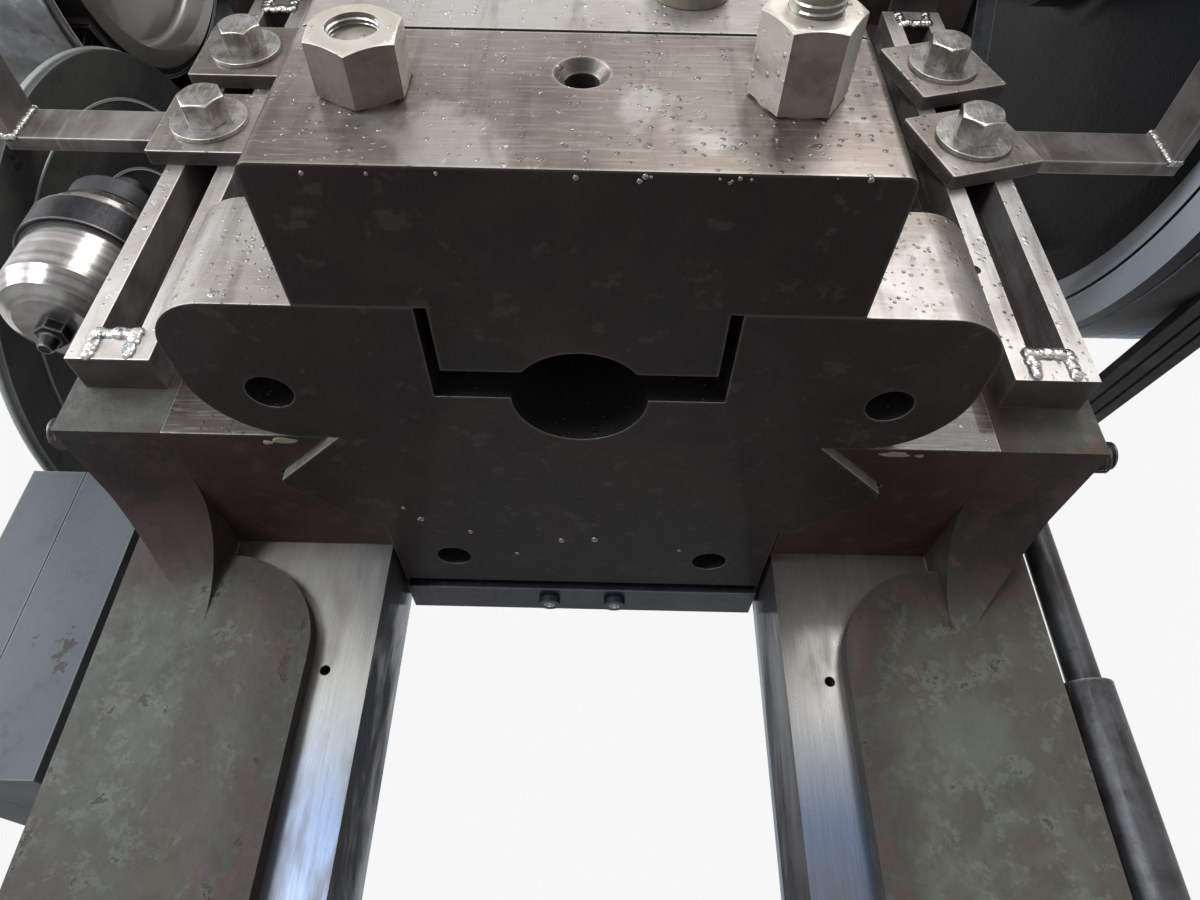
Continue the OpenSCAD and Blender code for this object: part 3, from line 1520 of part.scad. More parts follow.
// Trip rod with end collars, spring collar and the thicker tube of its lower part
module trip_rod() {
    tube_lo = treadle_z + 100;
    tube_hi = ram_z - 74;
    color(bare) at_ram() {
        bar_z(rod_r, treadle_z - eye_r - 26, trip_z + eye_r + 24, rod_x, rod_y);
        bar_z(tube_r, tube_lo, tube_hi, rod_x, rod_y);
        bar_z(collar_r, treadle_z - eye_r - 16.3, treadle_z - eye_r - 0.3, rod_x, rod_y);
        bar_z(collar_r, trip_z + eye_r + 0.3, trip_z + eye_r + 16.3, rod_x, rod_y);
        bar_z(collar_r, spring_hi + 0.3, spring_hi + 14, rod_x, rod_y);
    }
}

spring_turns = 8;
spring_wire_r = 1.6;
spring_r = rod_r + spring_wire_r + 1.5;

// Coil spring round the trip rod, swept ring by ring
module trip_spring() {
    sides = 8;
    rings = spring_turns * 10;
    length = spring_hi - spring_lo - 2 * spring_wire_r;
    points = [
        for (i = [0:rings], j = [0:sides - 1])
            let (a = 36 * i, b = 360 * j / sides, r = spring_r + spring_wire_r * cos(b))
                [r * cos(a), r * sin(a), length * i / rings + spring_wire_r * sin(b)]
    ];
    faces = concat(
        [[for (j = [0:sides - 1]) j]],
        [
            for (i = [0:rings - 1], j = [0:sides - 1])
                let (k = (j + 1) % sides)
                    [i * sides + j, (i + 1) * sides + j, (i + 1) * sides + k, i * sides + k]
        ],
        [[for (j = [0:sides - 1]) rings * sides + sides - 1 - j]]
    );
    color(black) at_ram() translate([rod_x, rod_y, spring_lo + spring_wire_r]) polyhedron(points, faces);
}

// Guide eye on the column for the trip rod
module rod_guide() {
    color(cast) at_ram() difference() {
        union() {
            block([side_x, rod_x], [rod_y - 8, rod_y + 8], [guide_z, guide_z + 16]);
            bar_z(rod_r + 7, guide_z, guide_z + 16, rod_x, rod_y);
            block([side_x, side_x + 4], [rod_y - 30, rod_y + 30], [guide_z - 4, guide_z + 20]);
        }
        bar_z(rod_r + run_gap, guide_z - 5, guide_z + 21, rod_x, rod_y);
    }
}

// Trip lever: hub, arm with the rod eye and a finger under the clutch sleeve
module trip_lever() {
    tip_z = crank_z - clutch_r - 1;
    tip_x1 = sleeve_in + 48;
    color(bare) at_ram() difference() {
        union() {
            bar_x(trip_pin_r + 13, side_x + 1, trip_plate_out, trip_pin_y, trip_z);
            block([lever_in, lever_out], [rod_y, trip_pin_y], [trip_z - 10, trip_z + 10]);
            bar_x(eye_r, lever_in, lever_out, rod_y, trip_z);
            along_x(trip_plate_out - 16, trip_plate_out) polygon([
                [trip_pin_y, trip_z - 16], [trip_pin_y, trip_z + 16], [rod_y, trip_z + 14],
                [28, tip_z - 30], [19, tip_z - 4], [-8, tip_z - 4], [-12, tip_z - 34],
                [rod_y - 30, trip_z - 10]
            ]);
            block([sleeve_in + 8, tip_x1], [-4, 14], [tip_z - 16, tip_z]);
            bar_x(eye_r - 3, lever_in + 4, sleeve_in + 8, rod_y, trip_z);
        }
        bar_x(trip_pin_r + run_gap, side_x, trip_plate_out + 1, trip_pin_y, trip_z);
        bar_z(eye_hole_r, trip_z - 40, trip_z + 40, rod_x, rod_y);
    }
}

module trip_lever_pin() {
    color(black) at_ram() {
        bar_x(trip_pin_r, side_x - trip_pin_in, trip_plate_out + 10, trip_pin_y, trip_z);
        bar_x(trip_pin_r + 6, trip_plate_out + 0.5, trip_plate_out + 8, trip_pin_y, trip_z);
    }
}

frame();
bolster_plate();
bolster_bolts();
rear_plate();
rear_plate_screws();
gib_left();
gib_right();
gib_bolts();
gib_adjusters();
bearing_cap_left();
bearing_cap_right();
bearing_cap_bolts();
bearing_bushings();
guard_rail_left();
guard_rail_right();
rail_plates();
rail_washers();
rail_bolts();
guard_arms();
brake_band();
brake_lining();
brake_anchor();
brake_guard();
guard_rods();
side_shield();
left_brackets();
oil_reservoir();
oil_reservoir_cap();
control_enclosure();
enclosure_pins();
motor();
motor_bracket();
v_belts();
rod_guide();
trip_lever_pin();
ram();
shank_clamp();
clamp_studs();
clamp_nut_left();
clamp_nut_right();
ram_plug();
ball_seat();
ball_cap();
ball_cap_screws();
crankshaft();
clutch_sleeve();
brake_drum();
shaft_end_nut();
pitman();
pitman_cap();
pitman_cap_bolts();
adjusting_screw();
flywheel();
flywheel_bushing();
motor_sheave();
treadle();
trip_rod();
trip_spring();
trip_lever();
enclosure_door();
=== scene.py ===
"""Looks of a gap-frame stamping press, laid out as an add-on.

Finishes for every part of the press, and the small pieces that its construction leaves out: weld beads,
threads, oil drops, seams, springs, washers, small screws, pipe fittings and paint flakes.
"""

import json
import math
import random

import bmesh
import bpy
from mathutils import Matrix, Vector

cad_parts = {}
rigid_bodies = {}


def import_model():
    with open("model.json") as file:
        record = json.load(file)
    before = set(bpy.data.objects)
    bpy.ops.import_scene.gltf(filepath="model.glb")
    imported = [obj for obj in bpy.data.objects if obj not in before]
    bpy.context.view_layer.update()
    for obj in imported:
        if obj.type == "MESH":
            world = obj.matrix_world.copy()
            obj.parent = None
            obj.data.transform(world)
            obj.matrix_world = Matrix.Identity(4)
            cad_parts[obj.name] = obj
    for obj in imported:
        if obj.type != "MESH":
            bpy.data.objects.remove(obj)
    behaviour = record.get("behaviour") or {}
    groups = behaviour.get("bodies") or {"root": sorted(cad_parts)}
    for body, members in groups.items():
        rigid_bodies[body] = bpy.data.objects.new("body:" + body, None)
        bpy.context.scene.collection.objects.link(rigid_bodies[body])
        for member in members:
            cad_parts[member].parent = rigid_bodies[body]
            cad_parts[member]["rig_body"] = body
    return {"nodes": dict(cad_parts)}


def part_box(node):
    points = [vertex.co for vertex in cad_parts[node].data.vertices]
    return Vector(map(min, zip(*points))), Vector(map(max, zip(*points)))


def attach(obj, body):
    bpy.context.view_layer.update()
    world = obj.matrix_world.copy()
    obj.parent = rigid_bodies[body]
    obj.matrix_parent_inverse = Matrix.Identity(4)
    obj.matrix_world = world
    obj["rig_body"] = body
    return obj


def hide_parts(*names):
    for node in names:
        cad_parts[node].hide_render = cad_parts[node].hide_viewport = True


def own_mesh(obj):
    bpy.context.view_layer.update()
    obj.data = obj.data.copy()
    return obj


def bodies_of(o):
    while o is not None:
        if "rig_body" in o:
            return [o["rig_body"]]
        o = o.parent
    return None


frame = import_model()

bl_info = {
    "name": "Stamping press looks",
    "version": (1, 0, 0),
    "blender": (4, 5, 0),
    "location": "View3D > Sidebar > Press",
    "description": "Finishes and small pieces of a gap-frame stamping press",
    "category": "Object",
}

SEED = 7
LEFT_RIGHT = (-1, 1)
CRANK_Y, CRANK_Z = -0.05, sum(corner.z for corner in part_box("crankshaft")) / 2
STUD_X = 0.080  # the clamp's studs, from the press's middle
FLAKED, STEEP, ROUND, WET = 40, 50, 60, 80  # angles in degrees, above which an edge stays sharp
MOST_OCTAVES, FINEST = 5, 1600  # of noise: what still shows at the camera's distance
BACKDROP = 0.93  # brightness of the white behind the press

# Where the frame's machined strips lie: the two ends of each soft edge, in metres
COLUMN_FOOT, CHEEK_FLOOR = (0.80, 0.81), (1.20, 1.21)
STRIP_FRONT, STRIP_BACK, STRIP_SIDE = (0.104, 0.106), (0.112, 0.114), (0.2160, 0.2175)
WALL_SIDE, WALL_FRONT = (0.1205, 0.1215), (0.095, 0.100)
# WALL_HIGHLIGHT: where the painted highlight begins towards the back edge of the columns' inside walls
WALL_BACK, WALL_HIGHLIGHT = (0.182, 0.184), (0.1705, 0.1725)
PROUD_SIDE, PROUD_TOP = 0.213, 1.122  # inner side and centre of the round end of the columns' proud faces


def linear(colour):
    """A colour's linear values; a string gives its screen values in hexadecimal, red first."""
    if not isinstance(colour, str):
        return tuple(colour)
    steps = [int(colour[i:i + 2], 16) / 255 for i in (0, 2, 4)]
    return tuple(step / 12.92 if step < 0.04045 else ((step + 0.055) / 1.055) ** 2.4 for step in steps)


def shade(colour, factor):
    """A colour made darker, or lighter up to white."""
    return tuple(min(1, value * factor) for value in linear(colour))


# Values a user would change


def colour_value(label, note, default):
    """A colour in a property group."""
    return bpy.props.FloatVectorProperty(
        name=label, description=note, subtype="COLOR", size=3, min=0, max=1, default=linear(default)
    )


def number_value(label, note, default, subtype="NONE", **more):
    """A number in a property group."""
    return bpy.props.FloatProperty(name=label, description=note, default=default, subtype=subtype, **more)


def length_value(label, note, default):
    """A length in a property group."""
    return number_value(label, note, default, "DISTANCE", unit="LENGTH", min=0)


class PressColours(bpy.types.PropertyGroup):
    """Colours of the press's finishes."""

    paint: colour_value("Frame paint", "Worn sage paint of the casting", "5a5d51")
    paint_dark: colour_value("Old paint", "Darker paint under the dust", "403f37")
    paint_pale: colour_value("Pale paint", "Rubbed, chalky paint", "768071")
    primer: colour_value("Primer", "Maroon primer under the paint", "3c2823")
    rust: colour_value("Rust", "Orange rust", "7c482a")
    grime: colour_value("Grime", "Dried oil and dirt", "28221d")
    # Colour of the casting's downward faces: oil-dark, and darker still as painted shade
    oily_underside_and_shade: colour_value("Oily casting", "Oil-soaked undersides of the casting", "1f1a17")
    galvanised: colour_value("Galvanised", "Zinc coat of the brake guard", "b0b1b3")
    enclosure: colour_value("Enclosure", "Blue-grey enamel", "5a5f63")
    shield: colour_value("Shield", "Grey-green sheet metal", "545552")
    wheel: colour_value("Flywheel", "Dark flywheel iron", "111214")


class PressSizes(bpy.types.PropertyGroup):
    """Sizes of the small pieces."""

    ease: length_value("Edge easing", "How far worked edges are broken", 0.0008)
    bead: length_value("Weld bead", "Radius of a weld bead", 0.0042)
    drop: length_value("Oil drop", "Radius of the largest hanging drop", 0.0022)
    pitch: length_value("Thread pitch", "Pitch of the coarse threads", 0.0025)


class StageValues(bpy.types.PropertyGroup):
    """Camera and light."""

    lens: number_value("Lens", "Focal length", 24, "DISTANCE_CAMERA")
    tilt: number_value("Tilt", "Camera's angle above level", math.radians(35), "ANGLE")
    roll: number_value("Roll", "Camera's turn about its own axis", math.radians(1.3), "ANGLE")
    place: bpy.props.FloatVectorProperty(
        name="Camera place", description="Where the camera stands", subtype="TRANSLATION",
        default=(0.010, -0.341, 0.958)
    )
    lamp: number_value("Lamp", "Power of the key lamp", 38, "POWER")
    floor: colour_value("Floor", "Pale floor", (0.72, 0.72, 0.71))
    sky: number_value("Sky", "Strength of the even light", 0.30)


# Shader maths


class Wire:
    """One output of a shader node; Python's operators on it add Math nodes."""

    def __init__(self, nodes, socket):
        self.nodes = nodes
        self.socket = socket

    def maths(self, operation, *values):
        """A Math node on some values."""
        return self.nodes.add("ShaderNodeMath", {"operation": operation}, values)

    def __add__(self, other):
        return self.maths("ADD", self, other)

    __radd__ = __add__

    def __sub__(self, other):
        return self.maths("SUBTRACT", self, other)

    def __rsub__(self, other):
        return self.maths("SUBTRACT", other, self)

    def __mul__(self, other):
        return self.maths("MULTIPLY", self, other)

    __rmul__ = __mul__

    def __pow__(self, other):
        return self.maths("POWER", self, other)

    def over(self, low, high):
        """0 below low, 1 above high, and a smooth step between them."""
        values = {0: self, 1: low, 2: high, 3: 0.0, 4: 1.0}
        return self.nodes.add("ShaderNodeMapRange", {"interpolation_type": "SMOOTHSTEP"}, values)

    def under(self, low, high):
        """1 below low and 0 above high."""
        return 1 - self.over(low, high)

    def highest(self, other):
        """The larger of two values."""
        return self.maths("MAXIMUM", self, other)

    def size(self):
        """The value without its sign."""
        return self.maths("ABSOLUTE", self)

    def with_side(self, other):
        """The long side of a right triangle with these two sides."""
        return (self * self + other * other) ** 0.5


class Nodes:
    """A node tree, built by calls that return wires."""

    def __init__(self, tree):
        self.tree = tree

    def add(self, kind, settings, values, output=0):
        """Any node: its settings first, then the values or links of its sockets."""
        made = self.tree.nodes.new(kind)
        for key, value in settings.items():
            setattr(made, key, value)
        for key, value in values.items() if isinstance(values, dict) else enumerate(values):
            if isinstance(value, Wire):
                self.tree.links.new(value.socket, made.inputs[key])
            else:
                made.inputs[key].default_value = value
        return Wire(self, made.outputs[output])

    def parts(self, vector):
        """The three parts of a vector or a colour."""
        first = self.add("ShaderNodeSeparateXYZ", {}, [vector])
        return [Wire(self, output) for output in first.socket.node.outputs]


class Finish(Nodes):
    """A finish: a Principled shader and the nodes that feed it, read in Object coordinates."""

    def __init__(self, name, **constants):
        self.material = bpy.data.materials.new(name)
        self.material.use_nodes = True
        super().__init__(self.material.node_tree)
        self.shader = self.tree.nodes["Principled BSDF"]
        self.place = self.add("ShaderNodeTexCoord", {}, {}, "Object")
        self.x, self.y, self.z = self.parts(self.place)
        self.nx, self.ny, self.nz = self.parts(self.add("ShaderNodeTexCoord", {}, {}, "Normal"))
        self.feed(**constants)

    def feed(self, **sockets):
        """Links wires to the shader, or sets plain values; underscores stand for spaces."""
        for key, value in sockets.items():
            socket = self.shader.inputs[key.replace("_", " ")]
            if isinstance(value, Wire):
                self.tree.links.new(value.socket, socket)
            else:
                socket.default_value = value

    def noise(self, scale, detail=4.0, rough=0.55, stretch=None, distort=0.0):
        """Noise with no more octaves than show; stretch scales Object coordinates along each axis."""
        place = self.place
        if stretch:
            place = self.add("ShaderNodeMapping", {}, {"Vector": place, "Scale": stretch})
        detail = min(detail, MOST_OCTAVES, max(1, math.log2(FINEST / scale)))
        return self.add("ShaderNodeTexNoise", {}, {
            "Vector": place, "Scale": scale, "Detail": detail, "Roughness": rough, "Distortion": distort,
        })

    def rings(self, along, scale, detail=2.0):
        """Noise along one value alone, as turning marks."""
        return self.add(
            "ShaderNodeTexNoise", {"noise_dimensions": "1D"}, {"W": along, "Scale": scale, "Detail": detail}
        )

    def cells(self, scale, output="Distance"):
        """Voronoi cells."""
        return self.add("ShaderNodeTexVoronoi", {}, {"Vector": self.place, "Scale": scale}, output)

    def mix(self, factor, below, above):
        """One colour over another."""
        below, above = [c if isinstance(c, Wire) else (*linear(c), 1.0) for c in (below, above)]
        return self.add("ShaderNodeMix", {"data_type": "RGBA"}, {0: factor, 6: below, 7: above}, 2)

    def coats(self, colour, *layers):
        """A colour under layers, each a mask and a colour."""
        for mask, above in layers:
            colour = self.mix(mask, colour, above)
        return colour

    def relief(self, height, depth, strength):
        """Height from 0 to 1, as a relief of that depth in metres."""
        bump = self.add("ShaderNodeBump", {}, {"Strength": strength, "Distance": depth, "Height": height})
        self.tree.links.new(bump.socket, self.shader.inputs["Normal"])

    def drops(self, scale, share, reach=0.32):
        """Round drops of oil on a surface: 1 on a drop's top, 0 between drops."""
        near = self.cells(scale)
        pick = self.parts(Wire(self, near.socket.node.outputs["Color"]))[0].over(1 - share, 1 - share + 0.01)
        return near.under(reach * 0.2, reach) * pick

    def worn(self):
        """1 where an edge is worn bright."""
        round_edge = self.add("ShaderNodeBevel", {"samples": 2}, {"Radius": 0.0022})
        flat = self.add("ShaderNodeNewGeometry", {}, {}, "Normal")
        along = self.add("ShaderNodeVectorMath", {"operation": "DOT_PRODUCT"}, [round_edge, flat], "Value")
        return along.under(0.90, 0.985)


# Finishes


def worn_paint(colours, name, machined=True):
    """Old paint over cast iron: mottling, thin spots down to primer, oil haze, and dark undersides from oil
    and painted shade.
    """
    f = Finish(name, Coat_Roughness=0.2)
    broad = f.noise(4.5, 5, 0.58, distort=0.3)
    mottle = f.noise(21, 6, 0.66, distort=0.6)
    fine = f.noise(190, 4, 0.6)
    thin = f.noise(7, 8, 0.70, distort=0.9).over(0.52, 0.66)
    streaked = f.noise(6, 7, 0.66, (2.0, 2.0, 0.8), 0.3).over(0.47, 0.60)
    stained = f.noise(26, 8, 0.74, distort=0.2).over(0.50, 0.60)
    flecks = f.noise(58, 7, 0.76, distort=0.2).over(0.54, 0.60)
    rusty = f.noise(29, 7, 0.72, distort=0.3).over(0.59, 0.68) * broad.over(0.44, 0.56)
    haze = f.noise(5, 5, 0.62, (1.6, 1.6, 0.8), 0.4).over(0.48, 0.66)
    chips = f.noise(58, 5, 0.7).over(0.655, 0.672)
    # Downward faces, which take the underside colour: oil-dark with painted shade
    below = f.nz.under(-0.72, -0.30)
    oily_underside_and_shade = f.coats(
        f.mix(mottle.over(0.42, 0.62), colours.oily_underside_and_shade, shade(colours.oily_underside_and_shade, 1.9)),
        (thin * 0.8, colours.primer),
        (f.noise(48, 5, 0.65).over(0.61, 0.68) * 0.5, colours.rust),
    )
    colour = f.coats(
        f.mix(broad.over(0.36, 0.64), colours.paint, colours.paint_dark),
        (mottle.over(0.42, 0.68) * 0.6, shade(colours.paint_dark, 0.6)),
        (thin * 0.7, "48362c"),
        (streaked * 0.7, f.mix(mottle.over(0.42, 0.60), "3a322a", "4a4237")),
        (stained * 0.42, "383029"),
        (flecks * 0.25, colours.paint_pale),
        (rusty * 0.55, colours.rust),
        (haze * 0.55, colours.grime),
        (chips * 0.75, "2e221d"),
        # Downward faces take the underside colour: oil-dark casting with painted shade
        (below, oily_underside_and_shade),
        (f.worn() * f.noise(34, 4, 0.6).over(0.36, 0.60) * 0.5, "706054"),
    )
    rough = 0.60 - haze * 0.22 + fine * 0.12
    grain = fine * 0.4 + f.noise(70, 3, 0.55) * 0.7 - chips * 0.4
    if machined:
        colour, rough, shine = machined_ways(f, colours, colour, rough, mottle)
        grain = grain * (1 - shine * 0.96)
        f.feed(Metallic=shine * 0.9)
    f.feed(Base_Color=colour, Roughness=rough, Coat_Weight=haze * 0.3 * (1 - below))
    f.relief(grain, 0.0012, 0.75)
    return f.material


def machined_ways(f, colours, colour, rough, mottle):
    """Bare machined strips on the columns and the bed, with a painted reflection; dark oily paint and painted
    shade beside them.
    """
    # A dark band on the paint beside the proud faces: oil, with painted shade in the corner by the strips
    inward, upward = (PROUD_SIDE - f.x.size()).highest(0), (f.z - PROUD_TOP).highest(0)
    soaked_and_shaded = inward.with_side(upward).over(0.020, 0.050) * f.z.over(0.85, 0.95)
    soaked_and_shaded = soaked_and_shaded * f.z.under(*CHEEK_FLOOR) * (0.6 + mottle.over(0.40, 0.60) * 0.4)
    # Darker towards the foot of the columns
    foot = f.noise(6, 5, 0.62, distort=0.5).over(0.42, 0.60) * f.z.under(0.98, 1.06) * f.z.over(*COLUMN_FOOT)
    # The cheeks' front faces behind the rails: oil-dark, darker still as painted shade
    front = f.ny.under(-0.7, -0.5) * f.z.over(1.190, 1.215) * f.z.under(1.62, 1.70)
    front = front * f.x.size().under(0.250, 0.280)
    soaked_and_shaded = soaked_and_shaded.highest(foot * 0.7).highest(front * (0.55 + mottle.over(0.40, 0.60) * 0.45))
    # The columns' inside walls: near-black painted shade
    inner_wall_shade = f.nx.size().over(0.85, 0.95) * f.x.size().under(*WALL_SIDE) * f.z.over(*COLUMN_FOOT)
    inner_wall_shade = inner_wall_shade * f.y.over(*WALL_FRONT) * f.y.under(*WALL_BACK)
    strip = f.ny.under(-0.95, -0.85) * f.y.over(*STRIP_FRONT) * f.y.under(*STRIP_BACK)
    strip = strip * f.z.over(0.86, 0.87) * f.x.size().under(*STRIP_SIDE)
    bed = f.nz.over(0.9, 0.97) * f.z.over(0.79, 0.795) * f.z.under(0.805, 0.81)
    shine = strip.highest(bed)
    lines = f.noise(42, 3, 0.5, (26, 26, 0.6))
    stain = f.noise(7, 5, 0.6, (3, 3, 0.9)).over(0.44, 0.64)
    high = f.z.over(1.03, 1.12).highest(bed)
    # Bluish low on the strips and warm grey high: a painted reflection
    metal = f.coats(
        f.mix(high, "4e596c", "92908b"),
        (lines, f.mix(high, "76849a", "c2c0ba")),
        (stain * 0.7, "5c544d"),
    )
    colour = f.coats(
        colour,
        (soaked_and_shaded * 0.88, f.mix(mottle.over(0.46, 0.58), shade(colours.grime, 0.7), colours.primer)),
        (inner_wall_shade * 0.95, f.mix(mottle.over(0.40, 0.62), "141417", "28272a")),
        # Painted highlight along the back edge of the inside walls
        (inner_wall_shade * f.y.over(*WALL_HIGHLIGHT) * 0.9, "96a2b0"),
        (shine, metal),
    )
    rough = rough * (1 - inner_wall_shade) + inner_wall_shade * 0.95
    return colour, rough * (1 - shine) + shine * (0.27 + stain * 0.2), shine


def in_ram_holes(f):
    """1 inside the shank hole, the slot of the clamp's tongue and the bolt holes, where no light reaches."""
    level = f.nz.over(-0.5, -0.3)
    box = f.x.size().under(0.0680, 0.0684) * f.y.over(-0.1080, -0.1074) * f.y.under(-0.0180, -0.0176)
    inside = box * f.z.under(1.295, 1.300) * level.highest(f.z.over(1.200, 1.205))
    for x, y, radius in ((0.144, CRANK_Y, 0.0110), (STUD_X, 0.110, 0.0105)):
        near = (f.x.size() - x).with_side(f.y - y).under(radius + 0.0004, radius + 0.0008)
        inside = inside.highest(near * f.z.under(1.262, 1.264) * level)
    return inside


def rail_side_shade(f):
    """Painted shade on the side faces of the rails and in their slots, of uneven strength."""
    return f.nx.size().over(0.8, 0.95) * (0.5 + f.noise(14, 4, 0.6).over(0.4, 0.6) * 0.3)


def oiled_steel(name, light, stain, under, drop_share=0.5, wear=0.6, shine=0.85, painted_shade_at=None):
    """Worked steel with oil on it: brown stains, drops, smears, bright worn edges, and undersides near-black
    from oil and painted shade.
    """
    f = Finish(name, Coat_Roughness=0.08)
    cloud = f.noise(9, 6, 0.6, distort=0.5)
    mottle = f.noise(38, 6, 0.65)
    fine = f.noise(320, 3, 0.6)
    runs = f.noise(12, 5, 0.65, (5, 5, 0.7))
    grind = f.noise(60, 3, 0.5, (1.0, 1.0, 14.0))
    patch = f.noise(17, 5, 0.6, distort=0.4)
    specks = f.cells(240).under(0.05, 0.16) * f.noise(22, 3).over(0.5, 0.6)
    # Downward faces: the underside colour, oil-dark with painted shade
    below = f.nz.under(-0.8, -0.4)
    drop = f.drops(270, drop_share * 0.7).highest(f.drops(120, drop_share * 0.25, 0.26)) * (1 - below)
    oily_under_and_shade = f.coats(
        f.mix(mottle.over(0.40, 0.64), under, shade(under, 1.7)),
        (cloud.over(0.50, 0.68) * 0.5, "3a2b22"),
        (f.noise(70, 5, 0.65).over(0.58, 0.66) * 0.3, "544a40"),
    )
    colour = f.coats(
        f.mix(cloud.over(0.36, 0.66), light, stain),
        (runs.over(0.50, 0.66) * 0.5, shade(stain, 0.45)),
        (grind.over(0.45, 0.75) * 0.13, "d6d2ce"),
        (patch.over(0.54, 0.64) * 0.3, "ceccc8"),
        (specks * 0.7, "3c281c"),
        (below, oily_under_and_shade),
        # Worn edges lighter on upward than on downward faces: painted shade
        (f.worn() * wear, f.mix(below, "cecac4", "70665c")),
        (drop * 0.25, "544232"),
    )
    dark = below
    # Near-black inside holes and in the rails' slots and sides: painted shade
    if painted_shade_at:
        inside = painted_shade_at(f)
        colour = f.mix(inside, colour, "090807")
        dark = below.highest(inside)
    rough = (0.26 + cloud * 0.22 + fine * 0.10) * (1 - drop * 0.85) + dark * 0.24
    f.feed(Base_Color=colour, Roughness=rough, Metallic=(shine - drop * 0.5) * (1 - dark * 0.85),
           Coat_Weight=(0.35 + drop * 0.6) * (1 - dark * 0.8))
    pits = f.noise(130, 4, 0.6).over(0.62, 0.70)
    f.relief(drop * 0.9 + f.noise(45, 2, 0.5) * 0.16 - pits * 0.18, 0.0009, 0.9)
    return f.material


def plain_metal(name, light, dark, rough=0.35, metal=0.9, wear=0.5, scale=30, grain=0.0003, coat=0.0):
    """Metal with blotches, fine scratches and bright edges."""
    f = Finish(name, Metallic=metal, Coat_Weight=coat, Coat_Roughness=0.1)
    cloud = f.noise(scale, 6, 0.62, distort=0.3)
    fine = f.noise(scale * 9, 4, 0.6)
    scratch = f.noise(scale * 1.6, 3, 0.5, (9.0, 1.0, 1.0))
    colour = f.coats(
        f.mix(cloud.over(0.36, 0.66), light, dark),
        (scratch.over(0.52, 0.72) * 0.35, shade(light, 1.7)),
        (f.noise(scale * 2.2, 6, 0.7).over(0.62, 0.70) * 0.6, shade(dark, 0.4)),
        (f.worn() * wear, "c8c6c2"),
    )
    f.feed(Base_Color=colour, Roughness=rough + fine * 0.16 + cloud * 0.10 - 0.08)
    f.relief(fine * 0.5 + scratch * 0.3 + cloud * 0.4, grain, 0.8)
    return f.material


def zinc_sheet(base):
    """Galvanised sheet: spangles, white bloom, dull dirt and dents."""
    f = Finish("galvanised", Metallic=0.5, Coat_Weight=0.1)
    spangle = f.parts(f.cells(85, "Color"))[0]
    bloom = f.noise(12, 6, 0.65, distort=0.6)
    dirt = f.noise(6, 5, 0.6, (1, 1, 0.4))
    colour = f.coats(
        f.mix(spangle, shade(base, 0.72), shade(base, 1.25)),
        (bloom.over(0.5, 0.66) * 0.5, "b0b0ae"),
        (dirt.over(0.44, 0.62) * 0.7, "42403c"),
        (f.noise(44, 5, 0.7).over(0.61, 0.68) * 0.6, "5c4a3a"),
    )
    f.feed(Base_Color=colour, Roughness=0.34 + spangle * 0.12 + dirt * 0.18)
    f.relief(f.noise(4.5, 2) * 0.7 + spangle * 0.05 + f.noise(60, 4) * 0.12, 0.006, 0.5)
    return f.material


def enamel(name, base, dark, gloss=0.25, orange=0.0003, dirty=0.55, coat=0.6, sheen=0.5):
    """Sprayed enamel on sheet metal: orange peel, dust, oil smears and small chips."""
    f = Finish(name, Specular_IOR_Level=sheen)
    smear = f.noise(7, 5, 0.6, (1.0, 1.0, 0.45), 0.5)
    dust = f.noise(40, 6, 0.7)
    chips = f.noise(19, 9, 0.72).over(0.645, 0.66)
    colour = f.coats(
        f.mix(smear.over(0.45, 0.68) * dirty, base, dark),
        (dust.over(0.54, 0.70) * 0.35, shade(dark, 0.55)),
        (chips * 0.85, "3a322e"),
        (f.worn() * 0.55, "969896"),
    )
    f.feed(Base_Color=colour, Roughness=gloss + smear * 0.22 + dust * 0.08)
    if coat:
        f.feed(Coat_Weight=(coat - chips * 0.4).highest(0), Coat_Roughness=0.08)
    f.relief(f.noise(420, 2, 0.5) * 0.5 - chips * 0.5 + f.noise(9, 2) * 1.2, orange, 0.7)
    return f.material


def wheel_iron(base):
    """Flywheel: dark web with oil bands, and a turned rim ring whose near-white blue is a painted reflection.
    """
    f = Finish("flywheel_iron", Specular_IOR_Level=0.22)
    reach = (f.z - CRANK_Z).with_side(f.y - CRANK_Y)
    side = f.nx.size().over(0.8, 0.9)
    cloud = f.noise(7, 6, 0.6, distort=0.5)
    fine = f.noise(160, 4, 0.6)
    turning = f.rings(reach, 900.0)
    ring = reach.over(0.3655, 0.3670) * side
    groove = (reach - 0.386).size().under(0.0012, 0.0018) * side
    # The turned ring is bare steel; its near-white blue colour is a painted reflection
    bright = f.coats(
        f.mix(turning, "d8e0ec", "f0f4fa"),
        (cloud.over(0.5, 0.64) * 0.3, "82868e"),
    )
    colour = f.coats(
        f.mix(cloud.over(0.38, 0.64), base, "0b0c0d"),
        (f.noise(14, 6, 0.66, (1, 0.4, 0.25)).over(0.55, 0.66) * 0.35, "222429"),
        (f.noise(24, 7, 0.7).over(0.60, 0.66) * 0.5, "2c201a"),
        (ring, bright),
        (groove, "161618"),
    )
    rough = (0.56 - cloud * 0.2 + fine * 0.1) * (1 - ring * 0.5)
    f.feed(Base_Color=colour, Roughness=rough, Metallic=ring * 0.4)
    f.relief((fine * 0.5 + cloud * 0.8) * (1 - ring * 0.9) - groove * 2 + turning * ring * 0.1, 0.0008, 0.8)
    return f.material


def dimpled_screw():
    """The rear plate's dark screws, each with a small bright dimple."""
    f = Finish("dimpled_screw", Metallic=0.2)
    low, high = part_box("rear_plate_screws")
    dimple = (f.x.size() - 0.022).with_side(f.y - (low.y + high.y) / 2).under(0.0032, 0.0038)
    cloud = f.noise(120, 4, 0.6)
    f.feed(Base_Color=f.mix(dimple, f.mix(cloud, "22242c", "3e424e"), "eceef2"),
           Roughness=0.3 + cloud * 0.15)
    return f.material


